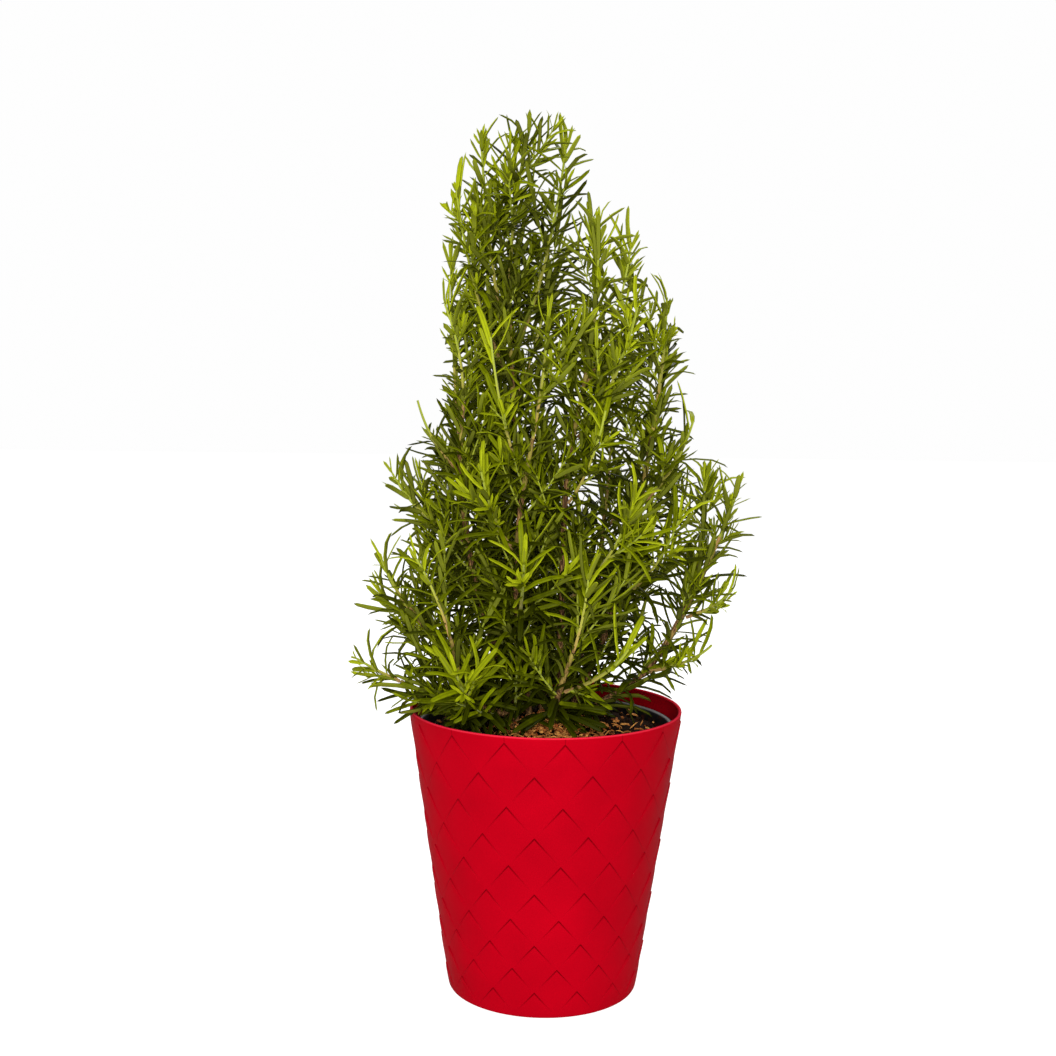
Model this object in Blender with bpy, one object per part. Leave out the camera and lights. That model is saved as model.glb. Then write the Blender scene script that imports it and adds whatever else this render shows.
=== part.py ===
"""Potted rosemary plant: a leafy upright shrub in a nursery pot, inside a tapered cover pot with a scale relief.

Metres, +Z up. The origin is the centre of the cover pot's flat underside, and -Y is the front.
Each woody stem rises out of the soil, and each leafy shoot is one closed solid that starts 0.3 mm
clear of the stem that carries it.
"""

from math import cos, pi, radians, sin, sqrt
from random import Random

import bmesh
import bpy
from mathutils import Vector

GAP = 0.0003

# Cover pot: a cone with an outer relief of overlapping diamond scales
POT_HEIGHT = 0.1717
POT_RIM_RADIUS = 0.0825
POT_BASE_RADIUS = 0.0576
POT_WALL = 0.0019
POT_FLOOR = 0.0020
POT_FOOT_CHAMFER = 0.0008
POT_LIP = 0.0010
SCALES_AROUND = 15
SCALE_ROWS = 10
SCALE_TOP = 0.1680
SCALE_ROW_RATIO = 0.9659
SCALE_STAND = 0.0006
SCALE_TURN = radians(7.1)
SCALE_CUTS = 2

# Nursery pot: a thin black liner with a rolled rim and drain holes
LINER_BASE = POT_FLOOR + GAP
LINER_BASE_RADIUS = 0.0515
LINER_RIM_HEIGHT = 0.1625
LINER_RIM_RADIUS = 0.0780
LINER_BODY_RADIUS = 0.0752
LINER_WALL = 0.0012
LINER_LIP = 0.0045
LINER_SEGMENTS = 40
DRAIN_HOLES = 5
DRAIN_RADIUS = 0.0050
DRAIN_CIRCLE = 0.0330
DRAIN_DRILL = 0.0100
DRILL_SIDES = 8

# Soil: a root ball with a low mound, and a patch of coir chips on it at the front
SOIL_RADIUS = 0.0727
SOIL_BASE_RADIUS = 0.0495
SOIL_EDGE = 0.1555
SOIL_CROWN = 0.1640
SOIL_RINGS = (0.014, 0.027, 0.040, 0.052, 0.063)
SOIL_SEGMENTS = 30
SOCKET_RADIUS = 0.0036
SOCKET_FLOOR = 0.1480
SOCKET_DRILL = 0.0300
BROAD_LUMP = 0.0008
FINE_LUMP = 0.0005
CHIP_LIFT = 0.0005
CHIP_THICKNESS = 0.0024
CHIP_COLUMNS = range(-5, 6)
CHIP_RINGS = SOIL_RINGS[2:]

# Woody stems: where each leaves the soil, then the points that it passes on its way up
STEM_FOOT = 0.1500
STEM_COLLAR = 0.1700
STEM_FOOT_RADIUS = 0.0022
STEM_END_RADIUS = 0.0013
STEM_RINGS = 8
STEM_SIDES = 6
STEMS = {
    "leader": [(-0.002, 0.004), (-0.009, 0.006, 0.237), (-0.019, 0.003, 0.320), (-0.024, 0.002, 0.395)],
    "front": [(0.008, -0.010), (0.008, -0.028, 0.230), (0.010, -0.038, 0.312), (0.020, -0.036, 0.372)],
    "front_left": [(-0.010, -0.014), (-0.018, -0.036, 0.240), (-0.017, -0.042, 0.290), (-0.010, -0.046, 0.335)],
    "left": [(-0.018, 0.000), (-0.042, -0.012, 0.245), (-0.052, -0.018, 0.310), (-0.051, -0.018, 0.345)],
    "right": [(0.016, 0.002), (0.038, -0.004, 0.225), (0.054, -0.008, 0.295), (0.062, -0.008, 0.345)],
    "far_right": [(0.026, -0.004), (0.062, -0.004, 0.197), (0.086, -0.002, 0.238), (0.100, 0.000, 0.268)],
    "low_front": [(0.004, -0.026), (0.006, -0.052, 0.188), (0.014, -0.064, 0.216)],
    "low_front_left": [(-0.018, -0.024), (-0.044, -0.048, 0.186), (-0.055, -0.058, 0.222)],
    "low_left": [(-0.028, -0.004), (-0.058, -0.016, 0.205), (-0.080, -0.020, 0.232)],
    "lowest_left": [(-0.030, -0.016), (-0.062, -0.026, 0.181), (-0.086, -0.026, 0.191)],
    "back_left": [(-0.012, 0.016), (-0.030, 0.042, 0.232), (-0.035, 0.050, 0.318)],
    "back_right": [(0.012, 0.016), (0.030, 0.040, 0.228), (0.038, 0.050, 0.302)],
    "low_back": [(0.000, 0.030), (0.004, 0.062, 0.200), (0.006, 0.078, 0.228)],
}

# Leafy shoots that carry on from the end of a woody stem: the point each one grows to
TERMINALS = {
    "leader": (-0.014, 0.000, 0.514),
    "front": (0.026, -0.030, 0.452),
    "front_left": (-0.002, -0.044, 0.402),
    "left": (-0.062, -0.014, 0.412),
    "right": (0.068, -0.006, 0.418),
    "far_right": (0.114, 0.002, 0.306),
    "low_front": (0.022, -0.070, 0.262),
    "low_front_left": (-0.074, -0.062, 0.268),
    "low_left": (-0.098, -0.018, 0.262),
    "lowest_left": (-0.112, -0.024, 0.204),
    "back_left": (-0.031, 0.048, 0.404),
    "back_right": (0.040, 0.048, 0.386),
    "low_back": (0.004, 0.094, 0.276),
}

# Side shoots: the stem that carries each one, how far along that stem it starts, and the point it grows to
SIDE_SHOOTS = [
    ("leader", 0.99, (-0.042, -0.002, 0.506)),
    ("leader", 0.90, (-0.056, -0.010, 0.478)),
    ("leader", 0.96, (0.008, 0.006, 0.508)),
    ("leader", 0.84, (0.004, 0.026, 0.462)),
    ("leader", 0.70, (-0.044, 0.034, 0.418)),
    ("front", 0.97, (0.046, -0.012, 0.446)),
    ("front", 0.80, (0.048, -0.044, 0.410)),
    ("front", 0.62, (0.030, -0.066, 0.352)),
    ("front", 0.40, (0.046, -0.066, 0.300)),
    ("front_left", 0.85, (-0.034, -0.056, 0.392)),
    ("front_left", 0.55, (-0.038, -0.074, 0.318)),
    ("front_left", 0.30, (-0.014, -0.082, 0.268)),
    ("left", 0.92, (-0.060, 0.010, 0.438)),
    ("left", 0.72, (-0.078, -0.010, 0.356)),
    ("left", 0.48, (-0.094, 0.004, 0.312)),
    ("right", 0.92, (0.070, 0.018, 0.386)),
    ("right", 0.70, (0.084, -0.016, 0.346)),
    ("right", 0.42, (0.074, -0.044, 0.290)),
    ("far_right", 0.80, (0.098, 0.016, 0.312)),
    ("far_right", 0.60, (0.110, -0.012, 0.246)),
    ("far_right", 0.34, (0.096, -0.032, 0.216)),
    ("low_front", 0.62, (0.044, -0.082, 0.222)),
    ("low_front_left", 0.50, (-0.050, -0.082, 0.206)),
    ("low_left", 0.78, (-0.100, 0.004, 0.238)),
    ("back_left", 0.84, (-0.060, 0.058, 0.350)),
    ("back_left", 0.46, (-0.076, 0.058, 0.268)),
    ("back_right", 0.84, (0.064, 0.058, 0.336)),
    ("back_right", 0.46, (0.082, 0.054, 0.258)),
    ("low_back", 0.66, (-0.038, 0.088, 0.236)),
    ("low_back", 0.40, (0.044, 0.086, 0.226)),
]

# Shoots and leaves
SHOOT_FOOT_RADIUS = 0.0011
SHOOT_END_RADIUS = 0.0007
SHOOT_RISE = 0.38
SHOOT_LEAN = 0.70
SHOOT_KNOTS = 12
TERMINAL_BOW = 0.5
PAIR_SPACING = 0.0170
LEAF_LENGTH = 0.0240
LEAF_WIDTH = 0.0028
LEAF_THICKNESS = 0.0009
LEAF_FOOT = 0.0016
LEAF_WIDEST = 0.45
LEAF_TRIES = (1.0, 0.75, 0.5)
LEAF_CLEARANCE = 0.0006
LEAF_REACH = 0.0800
ROD_CHECKS = 8
SPIKE_LENGTH = 0.0120
RIM_CLEARANCE = 0.0030


def clear_scene():
    for thing in list(bpy.data.objects):
        bpy.data.objects.remove(thing, do_unlink=True)


def material(name, colour, roughness, metallic=0.0):
    """A Principled material of one linear RGB colour."""
    made = bpy.data.materials.new(name)
    made.use_nodes = True
    shader = made.node_tree.nodes["Principled BSDF"]
    shader.inputs["Base Color"].default_value = (*colour, 1.0)
    shader.inputs["Roughness"].default_value = roughness
    shader.inputs["Metallic"].default_value = metallic
    made.diffuse_color = (*colour, 1.0)
    return made


def add_object(name, bm, finish, sharp=35.0):
    """The finished bmesh as an object, welded, with its faces turned outwards."""
    bmesh.ops.recalc_face_normals(bm, faces=bm.faces)
    mesh = bpy.data.meshes.new(name)
    bm.to_mesh(mesh)
    bm.free()
    mesh.materials.append(finish)
    mesh.shade_smooth()
    mesh.set_sharp_from_angle(angle=radians(sharp))
    made = bpy.data.objects.new(name, mesh)
    bpy.context.scene.collection.objects.link(made)
    return made


def ring(bm, radius, height, count):
    turn = 2 * pi / count
    return [bm.verts.new((radius * cos(i * turn), radius * sin(i * turn), height)) for i in range(count)]


def bridge(bm, lower, upper):
    for i in range(len(lower)):
        j = (i + 1) % len(lower)
        bm.faces.new((lower[i], lower[j], upper[j], upper[i]))


def cap(bm, loop, height):
    middle = bm.verts.new((0, 0, height))
    for i in range(len(loop)):
        bm.faces.new((loop[i], loop[(i + 1) % len(loop)], middle))


def turned(bm, profile, count):
    """A solid of revolution from (radius, height) points that start and end on the axis."""
    loops = [ring(bm, radius, height, count) for radius, height in profile[1:-1]]
    for lower, upper in zip(loops, loops[1:]):
        bridge(bm, lower, upper)
    cap(bm, loops[0], profile[0][1])
    cap(bm, loops[-1], profile[-1][1])


# ---------------------------------------------------------------- cover pot


def pot_radius(height):
    return POT_BASE_RADIUS + (POT_RIM_RADIUS - POT_BASE_RADIUS) * height / POT_HEIGHT


def row_height(row):
    """Height of a row line: each row is smaller than the one above by the same ratio."""
    radius = pot_radius(SCALE_TOP) * SCALE_ROW_RATIO**row
    slope = (POT_RIM_RADIUS - POT_BASE_RADIUS) / POT_HEIGHT
    return (radius - POT_BASE_RADIUS) / slope


class Relief:
    """The patterned outside. A place is counted in steps of a scale's grid: along around, and down the rows."""

    def __init__(self, bm):
        self.bm = bm
        self.flush = {}
        self.around = SCALES_AROUND * 2 * SCALE_CUTS

    def point(self, along, down, stand):
        angle = SCALE_TURN + 2 * pi * along / self.around
        height = row_height(down / SCALE_CUTS)
        radius = pot_radius(height) + stand
        return self.bm.verts.new((radius * sin(angle), -radius * cos(angle), height))

    def level(self, along, down):
        """The vertex on the plain cone, shared by the scales that meet there."""
        key = (along % self.around, down)
        if key not in self.flush:
            self.flush[key] = self.point(along, down, 0.0)
        return self.flush[key]

    def scale(self, row, number):
        """One diamond: proud at its top corner, level with the cone from its side corners down."""
        top_along = 2 * SCALE_CUTS * number + (SCALE_CUTS if row % 2 else 0)
        top_down = row * SCALE_CUTS
        grid = {}
        for left in range(SCALE_CUTS + 1):
            for right in range(SCALE_CUTS + 1):
                fall = left + right
                if row + fall / SCALE_CUTS > SCALE_ROWS:
                    continue
                if row < 0 and fall < SCALE_CUTS:
                    continue
                along, down = top_along + right - left, top_down + fall
                share = 1.0 - fall / SCALE_CUTS
                if share > 0:
                    grid[left, right] = self.point(along, down, SCALE_STAND * share)
                else:
                    grid[left, right] = self.level(along, down)
        for left in range(SCALE_CUTS):
            for right in range(SCALE_CUTS):
                near = [(left, right), (left + 1, right), (left + 1, right + 1), (left, right + 1)]
                corners = [grid[spot] for spot in near if spot in grid]
                if len(corners) > 2:
                    self.bm.faces.new(corners)
        if row >= 0:
            for side in (-1, 1):
                self.ledge(grid, top_along, top_down, side)

    def ledge(self, grid, top_along, top_down, side):
        """The small step along one upper edge, from full height at the top corner to nothing at the side corner."""
        for step in range(SCALE_CUTS):
            proud = [grid[(0, i) if side > 0 else (i, 0)] for i in (step, step + 1)]
            flat = [self.level(top_along + side * i, top_down + i) for i in (step, step + 1)]
            corners = [proud[0], proud[1], flat[1], flat[0]]
            if proud[1] is flat[1]:
                corners.pop(1)
            self.bm.faces.new(corners if side > 0 else corners[::-1])

    def edge_ring(self, row):
        """The level vertices along a row line, one grid step apart, in order around."""
        first = SCALE_CUTS if row % 2 else 0
        return [self.level(first + 2 * i, row * SCALE_CUTS) for i in range(self.around // 2)]


def placed_ring(bm, like, radius, height):
    """A ring at another radius and height, with each vertex at the angle of the one it follows."""
    made = []
    for vert in like:
        flat = Vector((vert.co.x, vert.co.y, 0)).normalized() * radius
        made.append(bm.verts.new((flat.x, flat.y, height)))
    return made


def make_cover_pot(finish):
    bm = bmesh.new()
    relief = Relief(bm)
    for row in range(-1, SCALE_ROWS):
        for number in range(SCALES_AROUND):
            relief.scale(row, number)
    top, bottom = relief.edge_ring(0), relief.edge_ring(SCALE_ROWS)
    lip_radius = POT_RIM_RADIUS - POT_WALL / 2
    inner_rim = POT_RIM_RADIUS - POT_WALL
    lip = [
        (pot_radius(POT_HEIGHT - POT_LIP), POT_HEIGHT - POT_LIP),
        (lip_radius + POT_WALL / 4, POT_HEIGHT),
        (lip_radius - POT_WALL / 4, POT_HEIGHT),
        (inner_rim, POT_HEIGHT - POT_LIP),
        (pot_radius(POT_FLOOR) - POT_WALL, POT_FLOOR),
    ]
    previous = top
    for radius, height in lip:
        following = placed_ring(bm, top, radius, height)
        bridge(bm, previous, following)
        previous = following
    cap(bm, previous, POT_FLOOR)
    foot = placed_ring(bm, bottom, POT_BASE_RADIUS - POT_FOOT_CHAMFER, 0.0)
    bridge(bm, foot, bottom)
    cap(bm, foot, 0.0)
    return add_object("cover_pot", bm, finish)


# ---------------------------------------------------------------- nursery pot


def make_nursery_pot(finish):
    bm = bmesh.new()
    under_rim = LINER_RIM_HEIGHT - LINER_LIP
    inner_base = LINER_BASE + LINER_WALL
    profile = [
        (0, LINER_BASE),
        (LINER_BASE_RADIUS, LINER_BASE),
        (LINER_BODY_RADIUS, under_rim),
        (LINER_RIM_RADIUS, under_rim),
        (LINER_RIM_RADIUS, LINER_RIM_HEIGHT - LINER_WALL),
        (LINER_RIM_RADIUS - LINER_WALL, LINER_RIM_HEIGHT),
        (LINER_BODY_RADIUS + GAP, LINER_RIM_HEIGHT),
        (LINER_BODY_RADIUS - LINER_WALL, under_rim),
        (LINER_BASE_RADIUS - LINER_WALL, inner_base),
        (0, inner_base),
    ]
    turned(bm, profile, LINER_SEGMENTS)
    pot = add_object("nursery_pot", bm, finish)
    drills = bmesh.new()
    for i in range(DRAIN_HOLES):
        angle = 2 * pi * (i + 0.5) / DRAIN_HOLES
        drill = bmesh.ops.create_cone(
            drills,
            cap_ends=True,
            segments=DRILL_SIDES,
            radius1=DRAIN_RADIUS,
            radius2=DRAIN_RADIUS,
            depth=DRAIN_DRILL,
        )
        middle = (DRAIN_CIRCLE * cos(angle), DRAIN_CIRCLE * sin(angle), LINER_BASE)
        bmesh.ops.translate(drills, verts=drill["verts"], vec=middle)
    cut_away(pot, add_object("drain_drills", drills, finish))
    return pot


def cut_away(body, cutter):
    """A Boolean difference that stays on the body; the cutter is left out of the build."""
    cutter.hide_render = True
    cutter.display_type = "WIRE"
    cut = body.modifiers.new("cut_" + cutter.name, "BOOLEAN")
    cut.operation = "DIFFERENCE"
    cut.solver = "EXACT"
    cut.object = cutter


# ---------------------------------------------------------------- soil and chips


def soil_height(x, y):
    """A low mound with gentle lumps, falling to the pot's wall."""
    reach = min(1.0, sqrt(x * x + y * y) / SOIL_RADIUS)
    lumps = BROAD_LUMP * sin(190 * x + 1.0) * cos(170 * y) + FINE_LUMP * sin(420 * y + 310 * x)
    return SOIL_EDGE + (SOIL_CROWN - SOIL_EDGE) * (1 - reach**2.4) + lumps


def soil_point(column, radius):
    angle = 2 * pi * column / SOIL_SEGMENTS
    x, y = radius * sin(angle), -radius * cos(angle)
    return x, y, soil_height(x, y)


def make_soil(finish):
    bm = bmesh.new()
    columns = range(SOIL_SEGMENTS)
    loops = [[bm.verts.new(soil_point(i, radius)) for i in columns] for radius in (*SOIL_RINGS, SOIL_RADIUS)]
    for inner, outer in zip(loops, loops[1:]):
        bridge(bm, inner, outer)
    cap(bm, loops[0], soil_height(0, 0))
    base = LINER_BASE + LINER_WALL + GAP
    foot = placed_ring(bm, loops[-1], SOIL_BASE_RADIUS, base)
    bridge(bm, loops[-1], foot)
    cap(bm, foot, base)
    soil = add_object("potting_soil", bm, finish)
    drills = bmesh.new()
    for points in STEMS.values():
        x, y = points[0]
        drill = bmesh.ops.create_cone(
            drills,
            cap_ends=True,
            segments=DRILL_SIDES,
            radius1=SOCKET_RADIUS,
            radius2=SOCKET_RADIUS,
            depth=SOCKET_DRILL,
        )
        bmesh.ops.translate(drills, verts=drill["verts"], vec=(x, y, SOCKET_FLOOR + SOCKET_DRILL / 2))
    cut_away(soil, add_object("socket_drills", drills, finish))
    return soil


def make_chips(finish):
    """The patch of coir chips: its underside follows the soil, and its top is lumpy."""
    bm = bmesh.new()
    draw = Random(3)
    under, over = {}, {}
    for column in CHIP_COLUMNS:
        for ring_number, radius in enumerate(CHIP_RINGS):
            x, y, z = soil_point(column, radius)
            under[column, ring_number] = bm.verts.new((x, y, z + CHIP_LIFT))
            lump = CHIP_THICKNESS * draw.uniform(0.45, 1.25)
            over[column, ring_number] = bm.verts.new((x, y, z + CHIP_LIFT + lump))
    last_ring = len(CHIP_RINGS) - 1
    first, last = CHIP_COLUMNS[0], CHIP_COLUMNS[-1]
    for column in range(first, last):
        for k in range(last_ring):
            for sheet in (under, over):
                bm.faces.new((sheet[column, k], sheet[column + 1, k], sheet[column + 1, k + 1], sheet[column, k + 1]))
        for k in (0, last_ring):
            bm.faces.new((under[column, k], under[column + 1, k], over[column + 1, k], over[column, k]))
    for column in (first, last):
        for k in range(last_ring):
            bm.faces.new((under[column, k], under[column, k + 1], over[column, k + 1], over[column, k]))
    return add_object("coir_chips", bm, finish)


# ---------------------------------------------------------------- stems and shoots


def smooth_path(points, count):
    """Points read evenly from a Catmull-Rom curve through the given ones."""
    ends = [points[0] * 2 - points[1], *points, points[-1] * 2 - points[-2]]
    path = []
    for i in range(count):
        place = (len(points) - 1) * i / (count - 1)
        span = min(int(place), len(points) - 2)
        t = place - span
        a, b, c, d = ends[span : span + 4]
        path.append((b * 2 + (c - a) * t + (a * 2 - b * 5 + c * 4 - d) * t**2 + (b * 3 - a - c * 3 + d) * t**3) / 2)
    return path


def stem_path(name, count=STEM_RINGS):
    """Straight up through the soil to the collar, then a smooth curve."""
    (x, y), *rest = STEMS[name]
    points = [Vector((x, y, STEM_COLLAR)), *map(Vector, rest)]
    return [Vector((x, y, STEM_FOOT)), *smooth_path(points, count - 1)]


def along(path, share):
    """The point and the direction at a share of a path's steps."""
    place = share * (len(path) - 1)
    i = min(int(place), len(path) - 2)
    return path[i].lerp(path[i + 1], place - i), (path[i + 1] - path[i]).normalized()


def bowed_path(start, bend, tip):
    """A shoot's curve, drawn towards its bend on the way to its tip."""
    shares = [i / (SHOOT_KNOTS - 1) for i in range(SHOOT_KNOTS)]
    return [start * (1 - t) ** 2 + bend * 2 * t * (1 - t) + tip * t**2 for t in shares]


def plan_shoots():
    """Every shoot's name and path: those that end a woody stem first, then the side shoots."""
    shoots = []
    for name, tip in TERMINALS.items():
        path = stem_path(name)
        heading = (path[-1] - path[-2]).normalized()
        start = path[-1] + heading * GAP
        tip = Vector(tip)
        bend = start + heading * (tip - start).length * TERMINAL_BOW
        shoots.append(bowed_path(start, bend, tip))
    for name, share, tip in SIDE_SHOOTS:
        tip = Vector(tip)
        point, heading = along(stem_path(name, 40), share)
        outward = tip - point
        outward = (outward - heading * outward.dot(heading)).normalized()
        radius = STEM_FOOT_RADIUS + (STEM_END_RADIUS - STEM_FOOT_RADIUS) * share
        start = point + outward * (radius + SHOOT_FOOT_RADIUS + GAP)
        # Out and a little up from its foot, then up to its tip
        bend = start.lerp(tip, SHOOT_LEAN)
        bend.z = start.z + SHOOT_RISE * (tip.z - start.z)
        shoots.append(bowed_path(start, bend, tip))
    return [(f"shoot_{i + 1:02d}", path) for i, path in enumerate(shoots)]


def tube_frames(path):
    """At each point: the point, the direction, and a side direction carried along without twist."""
    frames = []
    side = None
    for i, point in enumerate(path):
        heading = (path[min(i + 1, len(path) - 1)] - path[max(i - 1, 0)]).normalized()
        side = heading.orthogonal() if side is None else side
        side = (side - heading * side.dot(heading)).normalized()
        frames.append((point, heading, side))
    return frames


def tube_ring(bm, frame, radius, sides):
    point, heading, side = frame
    other = heading.cross(side)
    made = []
    for i in range(sides):
        turn = 2 * pi * i / sides
        made.append(bm.verts.new(point + (side * cos(turn) + other * sin(turn)) * radius))
    return made


def make_stem(name, finish):
    bm = bmesh.new()
    frames = tube_frames(stem_path(name))
    loops = []
    for i, frame in enumerate(frames):
        share = i / (len(frames) - 1)
        radius = STEM_FOOT_RADIUS + (STEM_END_RADIUS - STEM_FOOT_RADIUS) * share
        loops.append(tube_ring(bm, frame, radius, STEM_SIDES))
    for lower, upper in zip(loops, loops[1:]):
        bridge(bm, lower, upper)
    bm.faces.new(loops[0][::-1])
    bm.faces.new(loops[-1])
    return add_object("stem_" + name, bm, finish)


def rod_gap(a, b, rods):
    """The least free distance between the rod a-b and the (start, end, radius) rods, thickness left out."""
    least = 1.0
    steps = [a.lerp(b, i / ROD_CHECKS) for i in range(ROD_CHECKS + 1)]
    for start, end, radius in rods:
        if (a - start).length > LEAF_REACH:
            continue
        span = end - start
        length = span.length_squared
        for point in steps:
            t = max(0.0, min(1.0, (point - start).dot(span) / length))
            least = min(least, (point - start - span * t).length - radius)
    return least


def clears_pot(point):
    """A leaf may not dip into the soil or meet either pot's rim."""
    reach = sqrt(point.x**2 + point.y**2)
    if reach > LINER_BODY_RADIUS - LINER_LIP:
        return point.z > POT_HEIGHT + RIM_CLEARANCE
    return point.z > soil_height(point.x, point.y) + CHIP_LIFT + 2 * CHIP_THICKNESS


def leaf_aim(quad, heading):
    """The middle of a shoot's face, and the direction half out of it and half along the shoot."""
    centre = sum((v.co for v in quad), Vector()) / 4
    across = quad[1].co - quad[0].co
    upwards = centre - (quad[0].co + quad[1].co) / 2
    return centre, (across.cross(upwards).normalized() + heading).normalized()


def grow_leaf(bm, quad, heading, length):
    """A flat tapering blade drawn out of one face of the shoot, up and outwards."""
    centre, aim = leaf_aim(quad, heading)
    wide = (quad[1].co - quad[0].co).normalized() * LEAF_WIDTH / 2
    thick = (heading - aim * heading.dot(aim)).normalized() * LEAF_THICKNESS / 2
    middle = centre + aim * length * LEAF_WIDEST
    belly = [middle - wide - thick, middle + wide - thick, middle + wide + thick, middle - wide + thick]
    belly = [bm.verts.new(spot) for spot in belly]
    bridge(bm, quad, belly)
    tip = bm.verts.new(centre + aim * length)
    for i in range(4):
        bm.faces.new((belly[i], belly[(i + 1) % 4], tip))


def make_shoot(name, path, finish, rods, own_rods):
    """A square green stem with pairs of leaves, each pair turned a quarter from the one below."""
    bm = bmesh.new()
    length = sum((b - a).length for a, b in zip(path, path[1:]))
    pairs = max(3, round(length / PAIR_SPACING))
    foot_share = LEAF_FOOT / length
    shares = [0.0]
    for i in range(pairs):
        low = (i + 0.7) / (pairs + 0.2)
        shares += [low, low + foot_share]
    points = [along(path, share)[0] for share in shares]
    frames = tube_frames(points)
    loops = []
    for share, frame in zip(shares, frames):
        loops.append(tube_ring(bm, frame, SHOOT_FOOT_RADIUS + (SHOOT_END_RADIUS - SHOOT_FOOT_RADIUS) * share, 4))
    bm.faces.new(loops[0][::-1])
    spike = bm.verts.new(points[-1] + frames[-1][1] * SPIKE_LENGTH)
    for i in range(4):
        bm.faces.new((loops[-1][i], loops[-1][(i + 1) % 4], spike))
    leaves = []
    for strip, (lower, upper) in enumerate(zip(loops, loops[1:])):
        pair = (strip - 1) // 2
        heading = frames[strip][1]
        for side in range(4):
            quad = [lower[side], lower[(side + 1) % 4], upper[(side + 1) % 4], upper[side]]
            is_leaf = strip % 2 == 1 and side % 2 == pair % 2
            leaf_length = LEAF_LENGTH * leaf_share(quad, heading, rods, leaves) if is_leaf else 0.0
            if leaf_length:
                grow_leaf(bm, quad, heading, leaf_length)
                leaves.append(leaf_rod(quad, heading, leaf_length))
            else:
                bm.faces.new(quad)
    own_rods += leaves
    return add_object(name, bm, finish, 60.0)


def leaf_rod(quad, heading, length):
    centre, aim = leaf_aim(quad, heading)
    return centre + aim * length * 0.1, centre + aim * length, LEAF_WIDTH / 2


def leaf_share(quad, heading, rods, leaves):
    """The longest of the leaf lengths tried that clears everything already placed, or 0."""
    for share in LEAF_TRIES:
        start, end, radius = leaf_rod(quad, heading, LEAF_LENGTH * share)
        if not all(clears_pot(start.lerp(end, i / 4)) for i in range(5)):
            continue
        if rod_gap(start, end, rods + leaves) > radius + LEAF_CLEARANCE:
            return share
    return 0.0


def stem_rods(path, radius):
    return [(a, b, radius) for a, b in zip(path, path[1:])]


def make_plant(bark, leaf):
    for name in STEMS:
        make_stem(name, bark)
    shoots = plan_shoots()
    stems = [rod for name in STEMS for rod in stem_rods(stem_path(name), STEM_FOOT_RADIUS)]
    greens = {name: stem_rods(path, SHOOT_FOOT_RADIUS) for name, path in shoots}
    leaves = []
    for name, path in shoots:
        others = [rod for other, rods in greens.items() if other != name for rod in rods]
        make_shoot(name, path, leaf, stems + others + leaves, leaves)


def main():
    clear_scene()
    make_cover_pot(material("red_plastic", (0.56, 0.002, 0.010), 0.42))
    make_nursery_pot(material("black_plastic", (0.012, 0.012, 0.013), 0.45))
    make_soil(material("potting_mix", (0.030, 0.017, 0.010), 0.95))
    make_chips(material("coir", (0.19, 0.075, 0.025), 0.9))
    make_plant(material("rosemary_bark", (0.16, 0.085, 0.035), 0.8), material("rosemary_leaf", (0.045, 0.105, 0.012), 0.5))


main()
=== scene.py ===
"""Potted rosemary: a leafy young shrub in a black nursery pot, inside a red cover pot with scales in relief.

Metres, +Z up. The origin is the centre of the cover pot's flat underside, and -Y is the front.
"""

from math import cos, pi, radians, sin, sqrt
from random import Random

import bpy
from mathutils import Matrix, Vector, noise


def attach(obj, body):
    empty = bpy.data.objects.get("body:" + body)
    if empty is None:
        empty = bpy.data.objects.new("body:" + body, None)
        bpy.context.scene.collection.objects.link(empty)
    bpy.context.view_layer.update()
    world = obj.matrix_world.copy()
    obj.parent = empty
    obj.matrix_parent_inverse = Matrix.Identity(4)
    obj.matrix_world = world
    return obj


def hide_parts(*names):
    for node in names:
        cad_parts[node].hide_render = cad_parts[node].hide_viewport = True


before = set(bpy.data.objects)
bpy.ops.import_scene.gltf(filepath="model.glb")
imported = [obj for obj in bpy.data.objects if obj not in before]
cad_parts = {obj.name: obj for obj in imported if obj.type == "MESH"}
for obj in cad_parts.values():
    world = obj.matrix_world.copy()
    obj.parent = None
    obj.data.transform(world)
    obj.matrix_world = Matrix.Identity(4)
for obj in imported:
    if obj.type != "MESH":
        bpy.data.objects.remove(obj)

bl_info = {
    "name": "Potted Rosemary",
    "version": (1, 0, 0),
    "blender": (4, 5, 0),
    "location": "View3D > Sidebar > Rosemary",
    "description": "Builds a young rosemary shrub in a nursery pot inside a cover pot with a scale relief",
    "category": "Add Mesh",
}

UP = Vector((0, 0, 1))
GAP = 0.0003

# Cover pot: the cone, and the rows of diamond scales on it
POT_HEIGHT = 0.1717
POT_RIM_RADIUS = 0.0825
POT_BASE_RADIUS = 0.0576
POT_WALL = 0.0019
POT_FLOOR = 0.0020
SCALES_AROUND = 15
SCALE_ROWS = 10
SCALE_TOP = 0.1680
SCALE_FOOT = 0.0024
SCALE_ROW_RATIO = 0.9659
SCALE_TURN = radians(7.1)
# Where a scale's grid lines lie along each side of the diamond, and how proud the edge stands at the first
SCALE_LINES = (0.0, 0.010, 0.026, 0.045, 0.2, 0.35, 0.5, 0.65, 0.8, 0.955, 0.974, 0.990, 1.0)
SCALE_EDGE = (0.0, -0.30, 0.85, 1.0)
# How strongly the painted shade in the groove shows at the same lines
SCALE_SHADE = (0.9, 1.0, 0.45, 0.0)
# How dark the inside wall is painted, as shade
INSIDE_SHADE = 0.65
# The lip's half width at its top, the bead inside it, how far down it carries a painted highlight, and that
# highlight's mark
LIP_HALF = 0.00045
LIP_BEAD = 0.0003
LIP_HIGHLIGHT_DEPTH = 0.0006
LIP_HIGHLIGHT_MARK = -1
# Width of the ring that the pot stands on, and radius of the flat middle of its floor
FOOT_RING = 0.0034
HUB_RADIUS = 0.030
# Vertices this close together are one, and a vertex this close to a height is at it
WELD = 1e-5

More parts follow.
